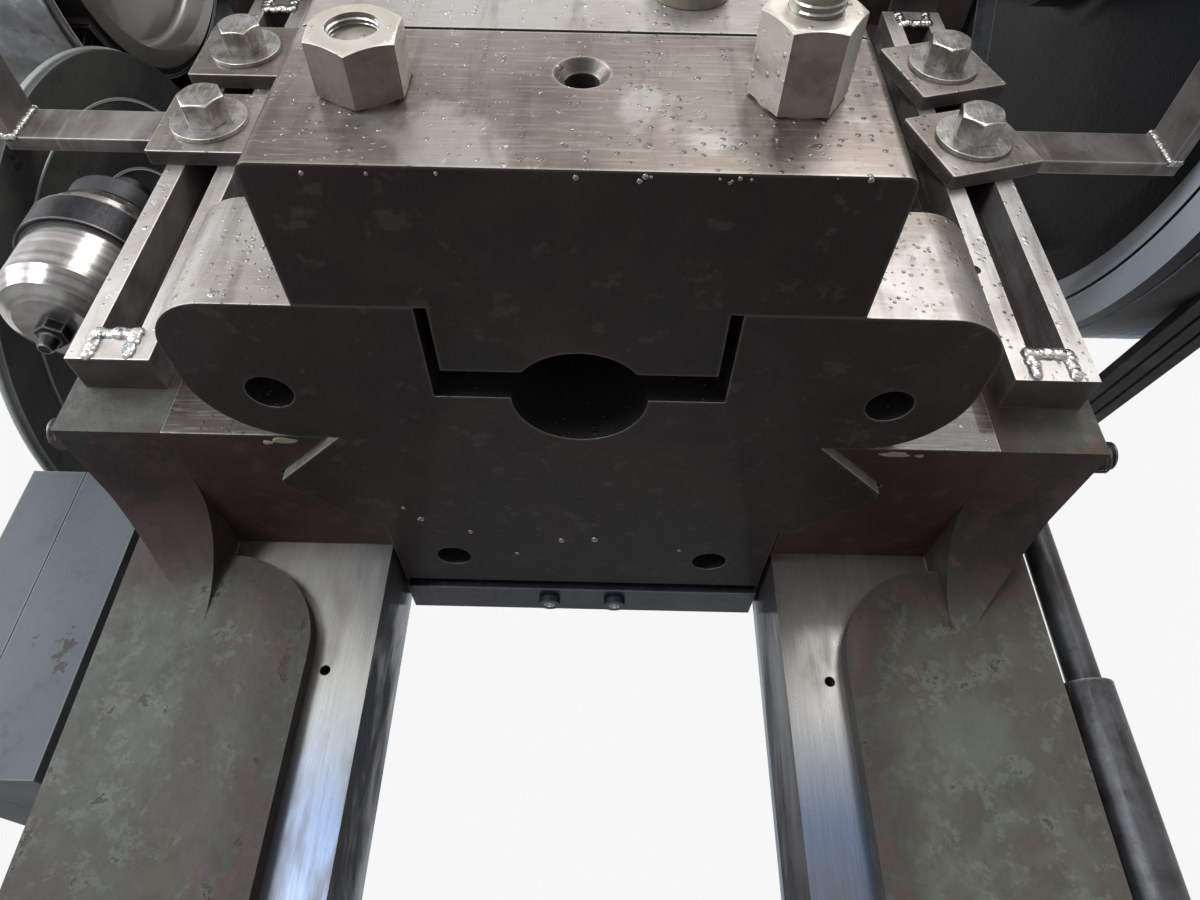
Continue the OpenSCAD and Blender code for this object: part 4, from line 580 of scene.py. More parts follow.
def turned_shaft(name, light, dark, rough=0.2):
    """Turned or ground steel with fine rings along X and thin oil."""
    f = Finish(name, Metallic=0.95, Coat_Weight=0.3)
    rings = f.rings(f.x, 1400.0)
    cloud = f.noise(14, 5, 0.6)
    colour = f.coats(f.mix(rings * 0.6, light, dark), (cloud.over(0.48, 0.66) * 0.6, "584a3a"))
    f.feed(Base_Color=colour, Roughness=rough + cloud * 0.2)
    f.relief(rings * 0.4 + cloud * 0.4, 0.0002, 0.6)
    return f.material


def rubber():
    """Belt rubber with a cloth cover and dust."""
    f = Finish("belt_rubber")
    weave = f.noise(900, 2, 0.5)
    dust = f.noise(25, 5, 0.65)
    colour = f.mix(dust.over(0.45, 0.68), "1e1e1f", "3e3c39")
    f.feed(Base_Color=colour, Roughness=0.7 + weave * 0.15)
    f.relief(weave * 0.6 + dust * 0.4, 0.0003, 0.7)
    return f.material


def tank_metal():
    """Reservoir: bright metal under brown varnish, with faint turning rings."""
    f = Finish("tank_metal", Metallic=0.8, Coat_Weight=0.7, Coat_Roughness=0.05)
    rings = f.rings(f.z, 260.0, 3.0)
    cloud = f.noise(22, 5, 0.6, distort=0.5)
    colour = f.coats(
        f.mix(rings.over(0.3, 0.7), "807c78", "b0aeac"),
        (cloud.over(0.44, 0.66) * 0.6, "54483c"),
    )
    f.feed(Base_Color=colour, Roughness=0.16 + cloud * 0.16)
    f.relief(rings * 0.2 + cloud * 0.6, 0.0004, 0.8)
    return f.material


def plastic(name, base, rough=0.4):
    """Moulded plastic with a fine grain and dust."""
    f = Finish(name)
    dust = f.noise(30, 5, 0.65)
    dusty = tuple(value * 0.5 + 0.08 for value in linear(base))
    f.feed(Base_Color=f.mix(dust.over(0.48, 0.70) * 0.5, base, dusty), Roughness=rough + dust * 0.2)
    f.relief(f.noise(700, 2, 0.5), 0.0001, 0.6)
    return f.material


def weld_metal():
    """Weld beads: blue, straw and silver heat colours with bright ripples."""
    f = Finish("weld_metal", Metallic=0.95, Coat_Weight=0.3)
    heat = f.noise(95, 4, 0.6, distort=1.0)
    colour = f.coats(
        f.mix(heat.over(0.34, 0.46), "545862", "c4c2be"),
        (heat.over(0.54, 0.64) * 0.6, "745c46"),
    )
    f.feed(Base_Color=colour, Roughness=0.16 + heat * 0.2)
    f.relief(f.noise(420, 3, 0.5) + heat, 0.0004, 0.8)
    return f.material


def clear_oil():
    """A drop of clear oil: the colour of the steel below it, with a wet shine."""
    f = Finish("oil", Coat_Weight=1.0)
    cloud = f.noise(200, 2, 0.5)
    f.feed(Base_Color=f.mix(cloud, "685e54", "a49c94"), Roughness=0.05 + cloud * 0.06,
           Metallic=0.5 + cloud * 0.2)
    return f.material


# Mesh helpers


def finished(name, shape, material, sharp, body="frame", stands_for=()):
    """Makes a piece from a bmesh, smooths it up to its sharp edges and lets it ride on a body."""
    bmesh.ops.recalc_face_normals(shape, faces=shape.faces)
    for edge in shape.edges:
        edge.smooth = edge.calc_face_angle(0) < math.radians(sharp)
    for face in shape.faces:
        face.smooth = True
    mesh = bpy.data.meshes.new(name)
    shape.to_mesh(mesh)
    shape.free()
    mesh.materials.append(material)
    piece = bpy.data.objects.new(name, mesh)
    bpy.context.scene.collection.objects.link(piece)
    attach(piece, body)
    if stands_for:
        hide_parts(*stands_for)
    return piece


def paint_nodes(material, *names):
    """Gives CAD nodes a finish."""
    for name in names:
        mesh = frame["nodes"][name].data
        if not mesh.materials:
            mesh.materials.append(material)
        for index in range(len(mesh.materials)):
            mesh.materials[index] = material


def body_of(node):
    """The name of the body that carries a CAD node."""
    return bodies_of(frame["nodes"][node])[0]


def break_edges(shape, edges, width):
    """Rounds edges in two steps."""
    bmesh.ops.bevel(
        shape, geom=edges, offset=width, offset_type="OFFSET", segments=2, profile=0.5, affect="EDGES",
        clamp_overlap=True, material=-1,
    )


def eased(material, width, slot, *nodes):
    """Merged copies of rigid CAD nodes with their edges broken, which stand for the nodes."""
    for node in nodes:
        shape = bmesh.new()
        shape.from_mesh(frame["nodes"][node].data)
        bmesh.ops.remove_doubles(shape, verts=shape.verts, dist=2e-5)
        bmesh.ops.dissolve_limit(
            shape, angle_limit=math.radians(0.6), verts=shape.verts, edges=shape.edges,
            use_dissolve_boundaries=False,
        )
        corner = math.radians(32)
        corners = [e for e in shape.edges if len(e.link_faces) == 2 and e.calc_face_angle(0) > corner]
        break_edges(shape, corners, width)
        piece = finished(node + "_eased", shape, material, STEEP, body_of(node), [node])
        piece.modifiers.new("Even shading", "WEIGHTED_NORMAL").keep_sharp = True


def lying(spot, normal):
    """A place at a spot, with its Z along a normal."""
    return Matrix.Translation(spot) @ Vector(normal).to_track_quat("Z", "Y").to_matrix().to_4x4()


def drop(shape, spot, radius, normal, tall):
    """One round drop sitting on a surface, or hanging from it."""
    place = lying(spot, normal) @ Matrix.Diagonal((1, 1, tall, 1))
    bmesh.ops.create_icosphere(shape, subdivisions=2, radius=radius, matrix=place)


def bead(shape, start, end, radius, normal=(0, -1, 0)):
    """A weld bead: overlapping ripples from start to end, flattened against the surface."""
    start, end = Vector(start), Vector(end)
    count = max(2, round((end - start).length / (radius * 0.5)))
    for i in range(count + 1):
        spot = start.lerp(end, i / count) + Vector([random.uniform(-0.12, 0.12) * radius for _ in range(3)])
        drop(shape, spot, radius * random.uniform(0.86, 1.12), normal, 0.6)


def wound(shape, centre, axis, section, pitch=0.0, turns=1, steps=96):
    """Winds (radius, height) corners about an axis: along it by a pitch, or without one into a ring."""
    centre, axis = Vector(centre), Vector(axis)
    out = axis.orthogonal().normalized()
    corners = [shape.verts.new(centre + out * reach + axis * rise) for reach, rise in section]
    if pitch:
        start = [shape.faces.new(corners)]
    else:
        start = corners + [shape.edges.new(pair) for pair in zip(corners, corners[1:] + corners[:1])]
    bmesh.ops.spin(
        shape, geom=start, cent=centre, axis=axis, dvec=axis * pitch / steps, angle=math.tau * turns,
        steps=steps * turns, use_merge=not pitch, use_duplicate=False,
    )


def round_wire(radius, wire, sides=8):
    """The section of a round wire that goes round at a radius."""
    angles = [math.tau * i / sides for i in range(sides)]
    return [(radius + wire * math.cos(angle), wire * math.sin(angle)) for angle in angles]


def thread(shape, centre, axis, radius, length, pitch, depth=0.0006):
    """A screw thread's ridge, wound along a stud."""
    root = radius - 0.0004
    section = [(root, 0.1 * pitch), (radius + depth, 0.5 * pitch), (root, 0.9 * pitch)]
    wound(shape, centre, axis, section, pitch, max(1, int(length / pitch) - 1), 20)


def hoop(shape, centre, radius, wire):
    """A round wire bent into a closed ring about X."""
    wound(shape, centre, (1, 0, 0), round_wire(radius, wire))


def coil(shape, start, axis, radius, wire, pitch, turns):
    """A coil spring of round wire with closed ends."""
    wound(shape, start, axis, round_wire(radius, wire), pitch, turns, 24)


def turned(shape, spot, axis, outline, sides=24, roll=0.0):
    """A turned fitting from (radius, height) steps along an axis; six sides make it a hexagon."""
    place = lying(spot, axis) @ Matrix.Rotation(roll, 4, "Z")
    ends = (outline[0], outline[-1])
    rings = [
        bmesh.ops.create_circle(
            shape, cap_ends=step in ends, segments=sides, radius=step[0],
            matrix=place @ Matrix.Translation((0, 0, step[1])),
        )["verts"]
        for step in outline
    ]
    for low, high in zip(rings, rings[1:]):
        edges = {e for ring in (low, high) for v in ring for e in v.link_edges if e.other_vert(v) in ring}
        bmesh.ops.bridge_loops(shape, edges=list(edges))


def button(shape, spot, axis, radius, edge, top, tall, sides=24, roll=0.0):
    """A round head or washer: straight up to the edge, then in to the top's radius at its full height."""
    turned(shape, spot, axis, [(radius, 0), (radius, edge), (top, tall)], sides, roll)


def hexagon(shape, spot, axis, flats, tall, roll=0.0):
    """A hexagon head with a turned top edge."""
    corner = flats / 2 / math.cos(math.radians(30))
    button(shape, spot, axis, corner, tall * 0.86, flats * 0.47, tall, 6, roll)


def rivet(shape, spot, normal, radius):
    """A domed rivet or pan-head screw."""
    dome = ((1, 0), (0.95, 0.3), (0.6, 0.55))
    turned(shape, spot, normal, [(radius * reach, radius * rise) for reach, rise in dome], 16)


def slab(shape, low, high, ease=0.0006):
    """A plate between two corners with its edges broken."""
    low, high = Vector(low), Vector(high)
    place = Matrix.Translation((low + high) / 2) @ Matrix.Diagonal((*(high - low), 1))
    made = bmesh.ops.create_cube(shape, size=1, matrix=place)
    break_edges(shape, list({e for v in made["verts"] for e in v.link_edges}), ease)


def around(x, radius, degrees, y=CRANK_Y, z=CRANK_Z):
    """Spots on a circle about a line along X, the crankshaft's if no other is given."""
    angles = [math.radians(turn) for turn in degrees]
    return [Vector((x, y + radius * math.cos(angle), z + radius * math.sin(angle))) for angle in angles]


def flake(shape, spot, size, down, seed):
    """An irregular flat scale of dried paint."""
    dice, spot, sides = random.Random(seed), Vector(spot), 14
    rim = []
    for i in range(sides):
        angle, reach = math.tau * i / sides, dice.uniform(0.6, 1.0)
        rim.append(spot + Vector((size[0] * reach * math.cos(angle), size[1] * reach * math.sin(angle), 0)))
    face = shape.faces.new([shape.verts.new(place) for place in rim])
    made = bmesh.ops.extrude_face_region(shape, geom=[face])["geom"]
    corners = [v for v in made if isinstance(v, bmesh.types.BMVert)]
    bmesh.ops.translate(shape, vec=(0, 0, -down), verts=corners)
    bmesh.ops.scale(shape, vec=(0.86, 0.86, 1), verts=corners, space=Matrix.Translation(-spot))


# Operators


class PRESS_OT_stage(bpy.types.Operator):
    """Floor, even light, soft lamps and the camera at the photograph's angle"""

    bl_idname = "press.stage"
    bl_label = "Stage"

    def execute(self, context):
        scene, values = context.scene, context.scene.press_stage
        scene.view_settings.view_transform = "Standard"
        floor = bmesh.new()
        bmesh.ops.create_circle(floor, cap_ends=True, segments=96, radius=9)
        mesh = bpy.data.meshes.new("floor")
        floor.to_mesh(mesh)
        floor.free()
        ground = bpy.data.objects.new("floor", mesh)
        scene.collection.objects.link(ground)
        f = Finish("floor", Roughness=0.85)
        f.feed(Base_Color=f.mix(f.noise(3, 6, 0.6) * 0.12, values.floor, shade(values.floor, 0.9)))
        mesh.materials.append(f.material)

        scene.world = bpy.data.worlds.new("pale room")
        scene.world.use_nodes = True
        room = Nodes(scene.world.node_tree)
        rays = room.add("ShaderNodeLightPath", {}, {}).socket.node.outputs
        seen = Wire(room, rays["Is Camera Ray"])
        for kind in ("Is Glossy Ray", "Is Transmission Ray"):
            seen = seen.highest(Wire(room, rays[kind]))
        level = room.add("ShaderNodeMapRange", {}, {0: seen, 3: values.sky, 4: BACKDROP})
        back = room.tree.nodes["Background"]
        back.inputs["Color"].default_value = (1, 1, 1, 1)
        room.tree.links.new(level.socket, back.inputs["Strength"])

        white, pale_blue, cool = (1, 1, 1), (0.92, 0.96, 1.0), (0.86, 0.93, 1.0)
        for name, place, target, size, share, colour in (
            ("key", (0.9, -2.4, 3.0), (0, 0, 1.3), 1.6, 1.0, white),
            ("fill", (-2.6, -1.4, 2.0), (0, 0, 1.2), 2.0, 1.1, pale_blue),
            ("side", (-1.3, -2.2, 1.1), (0.41, -0.15, 1.6), 0.8, 1.0, cool),
            ("back", (0.6, 3.0, 2.2), (0, 0, 1.2), 2.4, 0.7, cool),
        ):
            light = bpy.data.lights.new(name, "AREA")
            light.shape, light.size, light.energy, light.color = "DISK", size, values.lamp * share, colour
            lamp = bpy.data.objects.new(name, light)
            lamp.location = place
            lamp.rotation_euler = (Vector(target) - Vector(place)).to_track_quat("-Z", "Y").to_euler()
            scene.collection.objects.link(lamp)

        lens = bpy.data.cameras.new("camera")
        lens.lens, lens.sensor_width, lens.clip_start = values.lens, 36, 0.01
        camera = bpy.data.objects.new("camera", lens)
        turn = Matrix.Rotation(math.radians(90) + values.tilt, 4, "X") @ Matrix.Rotation(values.roll, 4, "Z")
        camera.matrix_world = Matrix.Translation(values.place) @ turn
        scene.collection.objects.link(camera)
        scene.camera = camera
        return {"FINISHED"}


def casting_paint(colours):
    """The frame's paint without machined ways, made once."""
    return bpy.data.materials.get("worn_paint_castings") or worn_paint(colours, "worn_paint_castings", False)


class PRESS_OT_frame_finish(bpy.types.Operator):
    """Worn paint, machined ways and fixings of the frame"""

    bl_idname = "press.frame_finish"
    bl_label = "Frame finish"

    def execute(self, context):
        colours, ease = context.scene.press_colours, context.scene.press_sizes.ease
        paint_nodes(worn_paint(colours, "worn_paint"), "frame", "motor_bracket", "rod_guide")
        eased(casting_paint(colours), ease * 2.5, "cast_paint", "bearing_cap_left", "bearing_cap_right")
        # The third colour of each oiled_steel call is its underside colour: oil-dark, with painted shade
        gib = oiled_steel("gib_iron", "3e342e", "2c221d", "2c1815", drop_share=0.3, wear=0.4, shine=0.3)
        eased(gib, ease, "gib_iron", "gib_left", "gib_right")
        plate = plain_metal(
            "ground_plate", "a8a8a6", "767068", 0.26, 0.95, wear=0.6, scale=9, grain=0.0002, coat=0.3
        )
        eased(plate, ease, "ground_steel", "bolster_plate")
        black = plain_metal("black_screws", "343436", "1e1d1d", 0.38, 0.85, wear=0.7, scale=60)
        paint_nodes(black, "bolster_bolts", "gib_bolts", "gib_adjusters", "bearing_cap_bolts", "brake_anchor",
                    "guard_rods", "left_brackets", "trip_lever_pin", "brake_band")
        bronze = plain_metal("bearing_bronze", "b08a54", "805c34", 0.3, 0.95, scale=24)
        paint_nodes(bronze, "bearing_bushings", "ball_seat", "flywheel_bushing")
        blued = plain_metal(
            "blued_plate", "2e323e", "1c1e25", 0.34, 0.7, wear=0.4, scale=16, grain=0.0004, coat=0.2
        )
        eased(blued, ease, "blued_plate", "rear_plate")
        screw = plain_metal("bright_screws", "d6d6d4", "aaa8a4", 0.25, wear=0.2, scale=90)
        paint_nodes(screw, "enclosure_pins")
        paint_nodes(dimpled_screw(), "rear_plate_screws")
        return {"FINISHED"}


class PRESS_OT_ram_finish(bpy.types.Operator):
    """Oily steel of the ram, its clamp, nuts and studs"""

    bl_idname = "press.ram_finish"
    bl_label = "Ram finish"

    def execute(self, context):
        ease = context.scene.press_sizes.ease
        # The third colour of each oiled_steel call is its underside colour: oil-dark, with painted shade
        ram = oiled_steel(
            "oily_iron", "aca7a2", "7e7368", "1b1613", drop_share=0.6, wear=0.5, shine=0.6,
            painted_shade_at=in_ram_holes,
        )
        eased(ram, ease * 1.2, "oily_iron", "ram")
        clamp = oiled_steel(
            "clamp_steel", "7e736a", "564b42", "16120f", wear=0.7, shine=0.7, painted_shade_at=in_ram_holes
        )
        eased(clamp, ease * 1.4, "clamp_steel", "shank_clamp")
        nut = oiled_steel("nut_steel", "cec6ba", "968a7a", "625c52", drop_share=0.6, wear=0.9, shine=0.5)
        eased(nut, ease * 0.9, "black_steel", "clamp_nut_left", "clamp_nut_right", "ram_plug")
        paint_nodes(nut, "clamp_studs")
        paint_nodes(casting_paint(context.scene.press_colours), "ball_cap")
        black = bpy.data.materials["black_screws"]
        paint_nodes(black, "ball_cap_screws", "pitman_cap_bolts", "shaft_end_nut")
        return {"FINISHED"}


class PRESS_OT_drive_finish(bpy.types.Operator):
    """Crankshaft, pitman, clutch, brake and flywheel"""

    bl_idname = "press.drive_finish"
    bl_label = "Drive finish"

    def execute(self, context):
        colours = context.scene.press_colours
        shaft = turned_shaft("turned_shaft", "c8c8ca", "96969a")
        paint_nodes(shaft, "crankshaft", "adjusting_screw", "clutch_sleeve")
        drum = turned_shaft("brake_drum_iron", "8c8a88", "605c58", rough=0.34)
        paint_nodes(drum, "brake_drum")
        paint_nodes(casting_paint(colours), "pitman", "pitman_cap")
        paint_nodes(wheel_iron(colours.wheel), "flywheel")
        paint_nodes(plastic("brake_lining", "4a3e34", rough=0.75), "brake_lining")
        paint_nodes(rubber(), "v_belts")
        sheave = plain_metal("sheave_iron", "464648", "2c2a2a", 0.4, 0.8, wear=0.6, scale=40)
        paint_nodes(sheave, "motor_sheave")
        return {"FINISHED"}


class PRESS_OT_fittings_finish(bpy.types.Operator):
    """Rails, guards, reservoir, enclosure, motor and foot control"""

    bl_idname = "press.fittings_finish"
    bl_label = "Fittings finish"

    def execute(self, context):
        colours, ease = context.scene.press_colours, context.scene.press_sizes.ease
        # The third colour of each oiled_steel call is its underside colour: oil-dark, with painted shade
        rail = oiled_steel(
            "rail_steel", "cecac6", "9e948c", "3a332e", drop_share=0.3, wear=0.9, shine=0.8, painted_shade_at=rail_side_shade
        )
        eased(rail, ease, "rail_steel", "guard_rail_left", "guard_rail_right")
        plate = oiled_steel("fixing_plate", "968e86", "6e645b", "36312d", wear=0.95)
        eased(plate, ease, "rail_steel", "rail_plates")
        bolt = plain_metal("bolt_steel", "c4c2bf", "8a8279", 0.26, wear=0.8, scale=70, grain=0.0002, coat=0.4)
        eased(bolt, ease * 0.6, "bolt_steel", "rail_bolts")
        eased(bolt, ease * 0.5, "bolt_steel", "rail_washers")
        arm = plain_metal("arm_steel", "8e8884", "625a55", 0.42, 0.6, wear=0.6, scale=14, coat=0.1)
        eased(arm, ease, "black_steel", "guard_arms")
        paint_nodes(zinc_sheet(colours.galvanised), "brake_guard")
        shield = enamel(
            "shield_paint", colours.shield, "323230", gloss=0.62, orange=0.0006, dirty=0.8, coat=0, sheen=0.12
        )
        paint_nodes(shield, "side_shield")
        paint_nodes(tank_metal(), "oil_reservoir")
        paint_nodes(plastic("black_plastic", "242426"), "oil_reservoir_cap")
        box = enamel("enclosure_enamel", colours.enclosure, "42464a", gloss=0.36, coat=0.1, sheen=0.25)
        eased(box, ease, "enclosure_paint", "control_enclosure")
        eased(box, ease * 2, "enclosure_paint", "enclosure_door")
        paint_nodes(enamel("motor_enamel", "606870", "3e4246", gloss=0.4), "motor")
        rod = plain_metal("control_steel", "4a4a4c", "2e2c2b", 0.38, 0.6, wear=0.4)
        paint_nodes(rod, "trip_rod", "trip_lever", "trip_spring")
        paint_nodes(casting_paint(colours), "treadle")
        return {"FINISHED"}


class PRESS_OT_welds(bpy.types.Operator):
    """Weld beads on the guard rails and the guard arms"""

    bl_idname = "press.welds"
    bl_label = "Weld beads"

    def execute(self, context):
        metal, radius = weld_metal(), context.scene.press_sizes.bead
        half, web = 0.0102, 0.018
        for side, sign in zip(("left", "right"), LEFT_RIGHT):
            low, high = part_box("guard_rail_" + side)
            middle = (low.x + high.x) / 2
            shape = bmesh.new()
            for z, up in ((low.z + web, 1), (high.z - web, -1)):
                bead(shape, (middle - half, low.y, z), (middle + half, low.y, z), radius)
                for x in (middle - half, middle + half):
                    bead(shape, (x, low.y, z), (x, low.y, z - up * web * 0.8), radius * 0.9)
            x, back, arm_low, arm_high = high.x if sign > 0 else low.x, high.y - 0.010, 1.431, 1.465
            for z in (arm_low, arm_high):
                bead(shape, (x, back + 0.001, z), (x, back + 0.009, z), radius * 0.8, (sign, 0, 0))
            x += sign * 0.001
            bead(shape, (x, back, arm_low + 0.002), (x, back, arm_high - 0.002), radius * 0.8)
            finished("rail_welds_" + side, shape, metal, ROUND)
        low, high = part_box("guard_arms")
        back, radius = high.y - 0.010, radius * 0.7
        shape = bmesh.new()
        for sign in LEFT_RIGHT:
            x = sign * (high.x - 0.008)
            for z in (low.z, high.z):
                bead(shape, (x, back, z), (x + sign * 0.006, back, z), radius, (0, 0, 1))
            bead(shape, (x, back - 0.001, low.z + 0.003), (x, back - 0.001, high.z - 0.003), radius)
        finished("arm_welds", shape, metal, ROUND)
        return {"FINISHED"}


class PRESS_OT_threads(bpy.types.Operator):
    """Threads on studs, rods and the adjusting screw"""

    bl_idname = "press.threads"
    bl_label = "Threads"

    def execute(self, context):
        pitch = context.scene.press_sizes.pitch
        steel = plain_metal("thread_steel", "96928c", "544c44", 0.3, wear=0.6, scale=60, coat=0.4)
        low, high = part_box("clamp_studs")
        stud, level = 0.0095, (low.z + high.z) / 2
        left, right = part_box("clamp_nut_left")[0].y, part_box("clamp_nut_right")[0].y
        shape = bmesh.new()
        thread(shape, (high.x - stud, right, level), (0, -1, 0), stud, right - low.y, pitch)
        thread(shape, (low.x + stud, left + 0.0002, level), (0, 1, 0), 0.0104, 0.012, 0.0015, -0.0014)
        finished("stud_threads", shape, steel, ROUND, "ram")
        foot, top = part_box("adjusting_screw")[0].z + 0.170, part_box("pitman")[0].z - 0.020
        shape = bmesh.new()
        thread(shape, (0, CRANK_Y, foot), (0, 0, 1), 0.032, top - foot, 0.005, 0.0012)
        finished("adjusting_thread", shape, steel, ROUND, "pitman")
        low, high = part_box("trip_rod")
        middle = (low + high) / 2
        shape = bmesh.new()
        for z in (low.z, high.z - 0.010):
            thread(shape, (middle.x, middle.y, z), (0, 0, 1), 0.0095, 0.009, 0.0022)
        finished("rod_threads", shape, steel, ROUND, "trip_rod")
        low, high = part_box("gib_adjusters")
        wall = 0.285
        shape = bmesh.new()
        for sign in LEFT_RIGHT:
            for z in (low.z + 0.012, high.z - 0.012):
                thread(shape, (sign * wall, CRANK_Y + 0.079, z), (sign, 0, 0), 0.008, high.x - wall, 0.002)
        finished("adjuster_threads", shape, steel, ROUND)
        return {"FINISHED"}


class PRESS_OT_oil_drops(bpy.types.Operator):
    """Oil drops on the clamp and ram, and hanging drops under them"""

    bl_idname = "press.oil_drops"
    bl_label = "Oil drops"

    def execute(self, context):
        oil, largest = clear_oil(), context.scene.press_sizes.drop
        shape = bmesh.new()
        low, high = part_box("shank_clamp")
        forward, down, flat = (0, -1, 0), (0, 0, -1), 0.45
        for _ in range(110):
            x = random.uniform(low.x + 0.006, high.x - 0.006)
            z = random.uniform(low.z + 0.004, high.z - 0.004)
            near_stud = abs(abs(x) - STUD_X) < 0.022 and abs(z - low.z - 0.048) < 0.022
            near_hole = abs(x) < 0.013 and abs(z - low.z - 0.060) < 0.013
            if not near_stud and not near_hole:
                drop(shape, (x, low.y, z), random.uniform(0.0003, 0.0008), forward, flat)
        ears = CRANK_Y - 0.057
        for _ in range(90):
            x = random.choice(LEFT_RIGHT) * random.uniform(0.122, 0.152)
            z = random.uniform(low.z + 0.003, low.z + 0.064)
            drop(shape, (x, ears, z), random.uniform(0.0003, 0.0009), forward, flat)
        for _ in range(14):
            x = random.uniform(low.x + 0.010, high.x - 0.010)
            y = low.y + random.uniform(0.001, 0.004)
            drop(shape, (x, y, low.z), random.uniform(0.35, 1) * largest * 0.6, down, 0.7)
        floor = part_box("ram")[0].z
        for x, y, share in (
            (-0.093, 0.064, 1.0), (-0.066, 0.078, 0.8), (-0.012, 0.086, 1.0), (0.008, 0.084, 1.1),
            (-0.101, 0.052, 0.6), (0.060, 0.096, 0.6), (-0.040, 0.104, 0.7),
        ):
            drop(shape, (x, y, floor), share * largest, down, 0.6)
        finished("oil_drops", shape, oil, WET, "ram")
        return {"FINISHED"}


class PRESS_OT_fasteners(bpy.types.Operator):
    """Anchor bolts and grease nipples"""

    bl_idname = "press.fasteners"
    bl_label = "Small fasteners"

    def execute(self, context):
        up, stud = (0, 0, 1), 0.0115
        shape = bmesh.new()
        for sx in LEFT_RIGHT:
            for sy in LEFT_RIGHT:
                x, y, foot = sx * 0.320, sy * 0.320, 0.035
                button(shape, (x, y, foot), up, 0.026, 0.003, 0.0255, 0.0035, 32)
                hexagon(shape, (x, y, foot + 0.0035), up, 0.036, 0.016, 0.3 * sx + sy)
                button(shape, (x, y, foot + 0.0195), up, stud, 0.016, 0.010, 0.018)
                thread(shape, (x, y, foot + 0.0200), up, stud, 0.016, 0.0025)
        finished("anchor_nuts", shape, bpy.data.materials["black_screws"], STEEP)
        brass = plain_metal("brass", "be9e5c", "8c6c3c", 0.25, 0.95, scale=60)
        nipple = [(0.0035, 0), (0.0035, 0.004), (0.0022, 0.006), (0.0034, 0.008), (0.0026, 0.011)]
        front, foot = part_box("bearing_cap_right")[0].y + 0.0004, 0.006
        shape = bmesh.new()
        for sign in LEFT_RIGHT:
            for x in (0.170, 0.242):
                hexagon(shape, (sign * x, front, CRANK_Z), (0, -1, 0), 0.011, foot)
                turned(shape, (sign * x, front - foot, CRANK_Z), (0, -1, 0), nipple, 16)
        finished("grease_nipples", shape, brass, STEEP)
        return {"FINISHED"}


class PRESS_OT_sheet_work(bpy.types.Operator):
    """Rolled rims, riveted lap seams and screws of the guard, the shield and the enclosure"""

    bl_idname = "press.sheet_work"
    bl_label = "Sheet-metal seams"

    def execute(self, context):
        low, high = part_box("brake_guard")
        reach = (high.z - low.z) / 2
        shape = bmesh.new()
        for x in (low.x + 0.0035, high.x - 0.0035):
            hoop(shape, (x, CRANK_Y, CRANK_Z), reach, 0.0032)
        hoop(shape, (low.x + 0.0002, CRANK_Y, CRANK_Z), reach * 0.72, 0.0016)
        seam, half, rivets, end = bmesh.new(), 0.0009, 5, 0.013
        slab(seam, (low.x + 0.007, -end, -half), (high.x - 0.007, end, half))
        for k in range(rivets):
            x = low.x + end + k * (high.x - low.x - 2 * end) / (rivets - 1)
            rivet(seam, (x, 0.006, half), (0, 0, 1), 0.0032)
        lap = bpy.data.meshes.new("lap")
        seam.to_mesh(lap)
        seam.free()
        for degrees in (-128, -64, 40):
            turn = Matrix.Rotation(math.radians(degrees) - math.pi / 2, 4, "X")
            copy = lap.copy()
            copy.transform(Matrix.Translation(around(0, reach, [degrees])[0]) @ turn)
            shape.from_mesh(copy)
            bpy.data.meshes.remove(copy)
        bpy.data.meshes.remove(lap)
        finished("guard_seams", shape, bpy.data.materials["galvanised"], STEEP)

        low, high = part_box("side_shield")
        centre, reach = (low + high) / 2, (high.z - low.z) / 2
        shape = bmesh.new()
        hoop(shape, (low.x + 0.0025, centre.y, centre.z), reach - 0.0005, 0.0028)
        for share in (0.55, 0.82):
            hoop(shape, (high.x - 0.0004, centre.y, centre.z), reach * share, 0.0014)
        for z in (centre.z - 0.045, centre.z + 0.075):
            for y in (centre.y + 0.038, centre.y + 0.072):
                rivet(shape, (high.x, y, z), (1, 0, 0), 0.0042)
        finished("shield_rims", shape, bpy.data.materials["shield_paint"], STEEP)

        low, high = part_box("enclosure_door")
        face, inset, out, sunk, long, wide = low.x + 0.016, 0.014, 0.0034, 0.0026, 0.0045, 0.0006
        dark = bpy.data.materials["black_screws"]
        shape = bmesh.new()
        for y in (low.y + inset, high.y - 0.026):
            for z in (low.z + inset, high.z - inset):
                button(shape, (face, y, z), (-1, 0, 0), 0.0062, 0.0018, 0.0048, 0.0030)
                slab(shape, (face - out, y - long, z - wide), (face - sunk, y + long, z + wide), 0.0002)
        finished("door_screws", shape, dark, STEEP, body_of("enclosure_door"))
        return {"FINISHED"}


